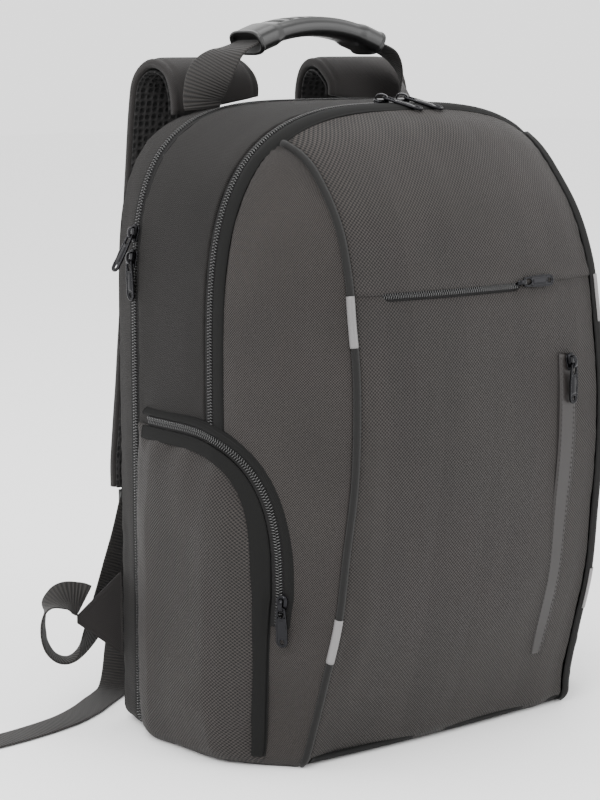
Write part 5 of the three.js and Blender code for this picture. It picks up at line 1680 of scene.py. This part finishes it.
@dataclass
class SliderSet:
    """The die-cast sliders and their pulls."""

    length: float = 13
    base: float = 2.2
    window: float = 3
    bridge_width: float = 3.2
    bridge_thick: float = 1.2
    reach: float = 29
    pull_width: float = 8.4
    pull_thick: float = 1.7
    coil_top: float = 1.4
    main_y: float = -6.0
    turn: float = 0.8
    tilt: float = 0.26

    def body(self, seat: Seat) -> None:
        """Builds the slider: a shield-shaped shell and an arched bridge.

        The shell's outline narrows from its shoulders to its nose as a cosine, and its top is
        crowned by one minus the fourth power of the distance from its middle.
        """
        u = np.linspace(-1, 1, 22)[:, None]
        v = np.linspace(-1, 1, 16)[None, :]
        waist = np.clip(1 - np.abs(u) ** 5, 0, 1) ** 0.45 * (0.86 + 0.14 * np.cos(math.pi * (u + 0.35)))
        c, s = math.cos(seat.turn), math.sin(seat.turn)
        along, across = u * self.length / 2 + 0 * v, v * waist * seat.width / 2
        edge = np.maximum(np.abs(u) ** 4, np.abs(v) ** 4)
        top = self.base * (1 - 0.45 * edge) - 0.3 * (np.abs(v) > 0.55) * (np.abs(v) < 0.75)
        flat = np.stack([along * c - across * s, along * s + across * c], -1)
        upper = np.concatenate([flat, top[..., None]], -1)
        lower = np.concatenate([flat, 0 * top[..., None]], -1)
        arch = np.linspace(0, math.pi, 18)
        high = self.window + self.bridge_thick / 2 + 0.1
        rise = self.base - 0.3 + np.abs(np.sin(arch)) ** 0.55 * high
        line = np.stack([np.cos(arch) * 4.0, 0 * arch, rise], -1)
        section = rounded_section(self.bridge_width, self.bridge_thick, 3, 14)
        bridge = carry(Frames.on(line, np.array([0.0, 1.0, 0.0])), section)
        shape, faces, uv = joined([shell(upper, lower), bridge])
        node = f"{seat.name}_slider"
        dress(f"{node}_casting", (seat.slider_points(shape), faces, uv), FINISH.nickel, node)

    def outline(self, inset: float, count: int = 64) -> Array:
        """The pull's outline, from a round tip to a heel a little narrower than its body."""
        half = self.pull_width / 2 - inset
        arc = np.linspace(-math.pi / 2, math.pi / 2, 17)
        tip = np.stack([self.reach - self.pull_width / 2 + half * np.cos(arc), half * np.sin(arc)], -1)
        x = np.linspace(self.reach - self.pull_width / 2, 10.5, 9)[1:]
        rear = np.stack([np.linspace(10.5, 0.2 + inset, 8)[1:], half - 0.9 * np.linspace(0.3, 1, 7)], -1)
        side = np.stack([x, np.full(8, half) - 0.3 * (x < 12)], -1)
        upper = np.concatenate([side, rear])
        return np.concatenate([tip, upper, (upper * np.array([1, -1]))[::-1]])

    def pull(self, seat: Seat) -> None:
        """Builds the pull: a rimmed plate with a ribbed edge, a tip hole and an eye round the bar.

        The plate is a raised middle panel and two flat pieces beside the tip hole, inside a rim carried
        round the outline, with rings carried round the tip hole and the eye.
        """
        t = self.pull_thick / 2
        parts = []
        rim = self.outline(0.55)
        flat_rim = np.concatenate([rim, np.zeros((len(rim), 1))], -1)
        frames = Frames.on(flat_rim, UP, closed=True)
        length = run_length(frames.at)
        ribs = 1 + 0.16 * np.sin(length / 0.75 * math.pi)[:, None, None] * (frames.at[:, :1, None] > 11)
        edge = rounded_section(self.pull_thick, 1.15, 3, 12)[None] * ribs
        parts.append(carry(frames, edge, closed=True))
        hole = np.linspace(0, 2 * math.pi, 40, endpoint=False)
        tip_ring = np.stack([25.0 + 2.2 * np.cos(hole), 1.9 * np.sin(hole), 0 * hole], -1)
        eye_width = 2.55 * np.sin(hole) * (1 + 0.12 * np.cos(hole))
        eye = np.stack([3.9 + 4.2 * np.cos(hole), eye_width, 0 * hole], -1)
        for ring, section in (
            (tip_ring, rounded_section(1.5, 0.9, 2, 10)),
            (eye, rounded_section(1.7, 1.1, 2, 12)),
        ):
            parts.append(carry(Frames.on(ring, UP, closed=True), section, closed=True))
        u = np.linspace(0, 1, 40)[:, None]
        v = np.linspace(-1, 1, 12)[None, :]
        x = 7.6 + (22.9 - 7.6) * u + 0 * v
        y = v * (3.3 - 0.7 * (u < 0.06))
        inside = smooth_step((0.62 - np.abs(v)) / 0.1)
        inside = inside * smooth_step((u - 0.08) / 0.06) * smooth_step((0.93 - u) / 0.06)
        panel = 0.52 * t + 0.5 * t * inside
        parts.append(shell(np.stack([x, y, panel], -1), np.stack([x, y, -panel], -1)))
        for sign in (1, -1):
            x = np.linspace(22.5, 27.9, 12)[:, None]
            outer = np.sqrt(np.maximum(3.75**2 - np.maximum(x - 24.8, 0) ** 2, 0.01))
            inner = 1.9 * np.sqrt(np.maximum(1 - ((x - 25) / 2.2) ** 2, 0))
            y = sign * (inner + (outer - inner) * np.linspace(0, 1, 5)[None, :])
            flat = np.full_like(y, 0.5 * t)
            parts.append(shell(np.stack([x + 0 * y, y, flat], -1), np.stack([x + 0 * y, y, -flat], -1)))
        parts = [(np.asarray(p).reshape(-1, 3), f, q) for p, f, q in parts]
        shape, faces, uv = joined([self.outward(part) for part in parts])
        node = f"{seat.name}_pull"
        piece = put_mesh(f"{node}_casting", seat.pull_points(shape), faces, uv)
        show(piece, FINISH.nickel, node, body=node)

    def outward(self, part: tuple[Array, Sequence, Array]) -> tuple[Array, Sequence, Array]:
        """Turns one closed part's faces out before parts are joined."""
        points, faces, uv = part
        first = np.array([list(f)[:3] for f in faces], int)
        a, b, c = (points[first[:, k]] for k in range(3))
        if (a * np.cross(b, c)).sum() < 0:
            faces = [list(f)[::-1] for f in faces]
        return points, faces, uv

    def side_seat(self, name: str, y: float, z: float, rest: float) -> Seat:
        """A seat on a ring's left side, its pull hanging down."""
        drop = float(SHAPE.side(np.array(y), np.array(z)) - SHAPE.side(np.array(y), np.array(z - 1.0)))
        down = unit(np.array([drop, 0.0, -1.0]))
        out = np.array([down[2], 0.0, -down[0]])
        at = np.array([-float(SHAPE.side(np.array(y), np.array(z))), y, z]) + out * self.coil_top
        return Seat(name, at, down, out, rest=rest)

    def front_seat(self, name: str, x: float, z: float, lift: float, way: Array, **more: float) -> Seat:
        """A seat on the front panel."""
        at = SHAPE.on_front(np.array(x), np.array(z), np.array(lift))
        out = SHAPE.front_normal(np.array(x), np.array(float(z)))
        return Seat(name, at, way, out, **more)

    def seats(self) -> list[Seat]:
        """Every slider's seat."""
        down = np.array([0.0, 0.0, -1.0])
        found = [
            self.side_seat("laptop_upper", 82, 364.5, 0.4),
            self.side_seat("laptop_lower", 82, 347, -0.11),
        ]
        ahead = np.array([math.cos(self.turn), -math.sin(self.turn), 0.0])
        above = np.array([0.0, -math.sin(self.tilt), math.cos(self.tilt)])
        for name, x in (("main_left", -0.031 * SHAPE.height), ("main_right", 0.011 * SHAPE.height)):
            top = float(SHAPE.crown(np.array(self.main_y), np.array(x)))
            at = np.array([x, self.main_y, top + self.coil_top])
            found.append(Seat(name, at, ahead, above, turn=self.turn))
        for side, flip in SIDES:
            low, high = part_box(f"side_pocket_{side}_slider")
            middle = (np.array(low) + np.array(high)) / 2 / MM
            y, z = middle[1], middle[2]
            flank = float(SHAPE.flank(np.array(y), np.array(z)))
            behind = float(SHAPE.flank(np.array(y + 1.0), np.array(z)))
            out = unit(np.array([-1.0, flank - behind, 0.0]))
            at = np.array([-flank, y, z]) + out * 4.5
            found.append(Seat(f"side_pocket_{side}", at * flip, down, out * flip))
        half = float(SHAPE.piping(np.array(SHAPE.front_seam))[0])
        place = (0.286 * half, SHAPE.front_seam, self.coil_top - 4.0)
        found.append(self.front_seat("front_pocket", *place, RIGHT, width=4.4, rest=0.04))
        found.append(self.front_seat("front_welt", 75.0, 277.0, 2.0, np.array([0.05, 0.0, -1.0])))
        return found

    def build(self) -> None:
        """Builds every slider and pull."""
        for seat in self.seats():
            self.body(seat)
            self.pull(seat)


# Studio


@dataclass
class Studio:
    """Floor, lights and camera."""

    place: tuple[float, float, float] = (-0.9766, -1.1660, 0.4973)
    azimuth: float = -37.5
    elevation: float = 9.65
    lens: float = 94.5

    def camera(self) -> None:
        """Sets the camera at the photograph's angle."""
        data = bpy.data.cameras.new("studio_camera")
        data.lens = self.lens
        data.sensor_width = 36.0
        data.clip_end = 60.0
        camera = bpy.data.objects.new("studio_camera", data)
        bpy.context.scene.collection.objects.link(camera)
        a, e = math.radians(self.azimuth), math.radians(self.elevation)
        back = Vector((math.sin(a) * math.cos(e), -math.cos(a) * math.cos(e), math.sin(e)))
        turn = (-back).to_track_quat("-Z", "Y").to_matrix().to_4x4()
        camera.matrix_world = Matrix.Translation(self.place) @ turn
        bpy.context.scene.camera = camera

    def light(self, name: str, place: Sequence[float], size: float, power: float) -> None:
        """Adds one soft square light that looks at the bag's middle."""
        data = bpy.data.lights.new(name, "AREA")
        data.energy, data.size = power, size
        lamp = bpy.data.objects.new(name, data)
        bpy.context.scene.collection.objects.link(lamp)
        way = Vector((0.0, 0.0, 0.22)) - Vector(place)
        lamp.matrix_world = Matrix.Translation(place) @ way.to_track_quat("-Z", "Y").to_matrix().to_4x4()

    def floor(self) -> None:
        """Lays a pale floor far past the camera's view."""
        edge = np.linspace(-9000, 9000, 3)
        x, y = np.meshgrid(edge, edge)
        points = np.stack([x, y, np.full_like(x, -0.4)], -1)
        floor = put_mesh("studio_floor", points, quad_faces(3, 3))
        paper = Finish("Studio_paper", "", "#fbfbfb", "#fbfbfb", 0.9, relief=0.0, cloud=0.0)
        floor.data.materials.append(paper.make())

    def build(self) -> None:
        """Sets the world, floor, lights and camera."""
        world = bpy.data.worlds.get("World") or bpy.data.worlds.new("World")
        bpy.context.scene.world = world
        world.use_nodes = True
        tree = world.node_tree
        tree.nodes.clear()
        sky = add_node(tree, "ShaderNodeBackground", {"Color": linear("#ffffff"), "Strength": 1.85})[0]
        add_node(tree, "ShaderNodeOutputWorld", {"Surface": sky})
        self.floor()
        self.light("key_light", (-1.9, -1.2, 1.9), 1.4, 60)
        self.light("fill_light", (1.4, -2.2, 1.2), 1.8, 30)
        self.light("top_light", (0.0, 0.2, 2.4), 1.6, 25)
        self.camera()


def main() -> None:
    """Builds the bag in order and frames it."""
    logging.basicConfig(level=logging.INFO, format="%(name)s: %(message)s")
    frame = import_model()
    LOG.info("frame holds %d nodes", len(frame["nodes"]))
    Gussets().build()
    FrontPanels().build()
    BaseAndBack().build()
    BodyZips().build()
    MainFacing().build()
    Piping().build()
    SidePocket().build()
    UprightPocket().build()
    Handle().build()
    ShoulderStrap().build()
    LowerWebbing().build()
    SliderSet().build()
    Studio().build()
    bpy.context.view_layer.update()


if __name__ == "__main__":
    main()
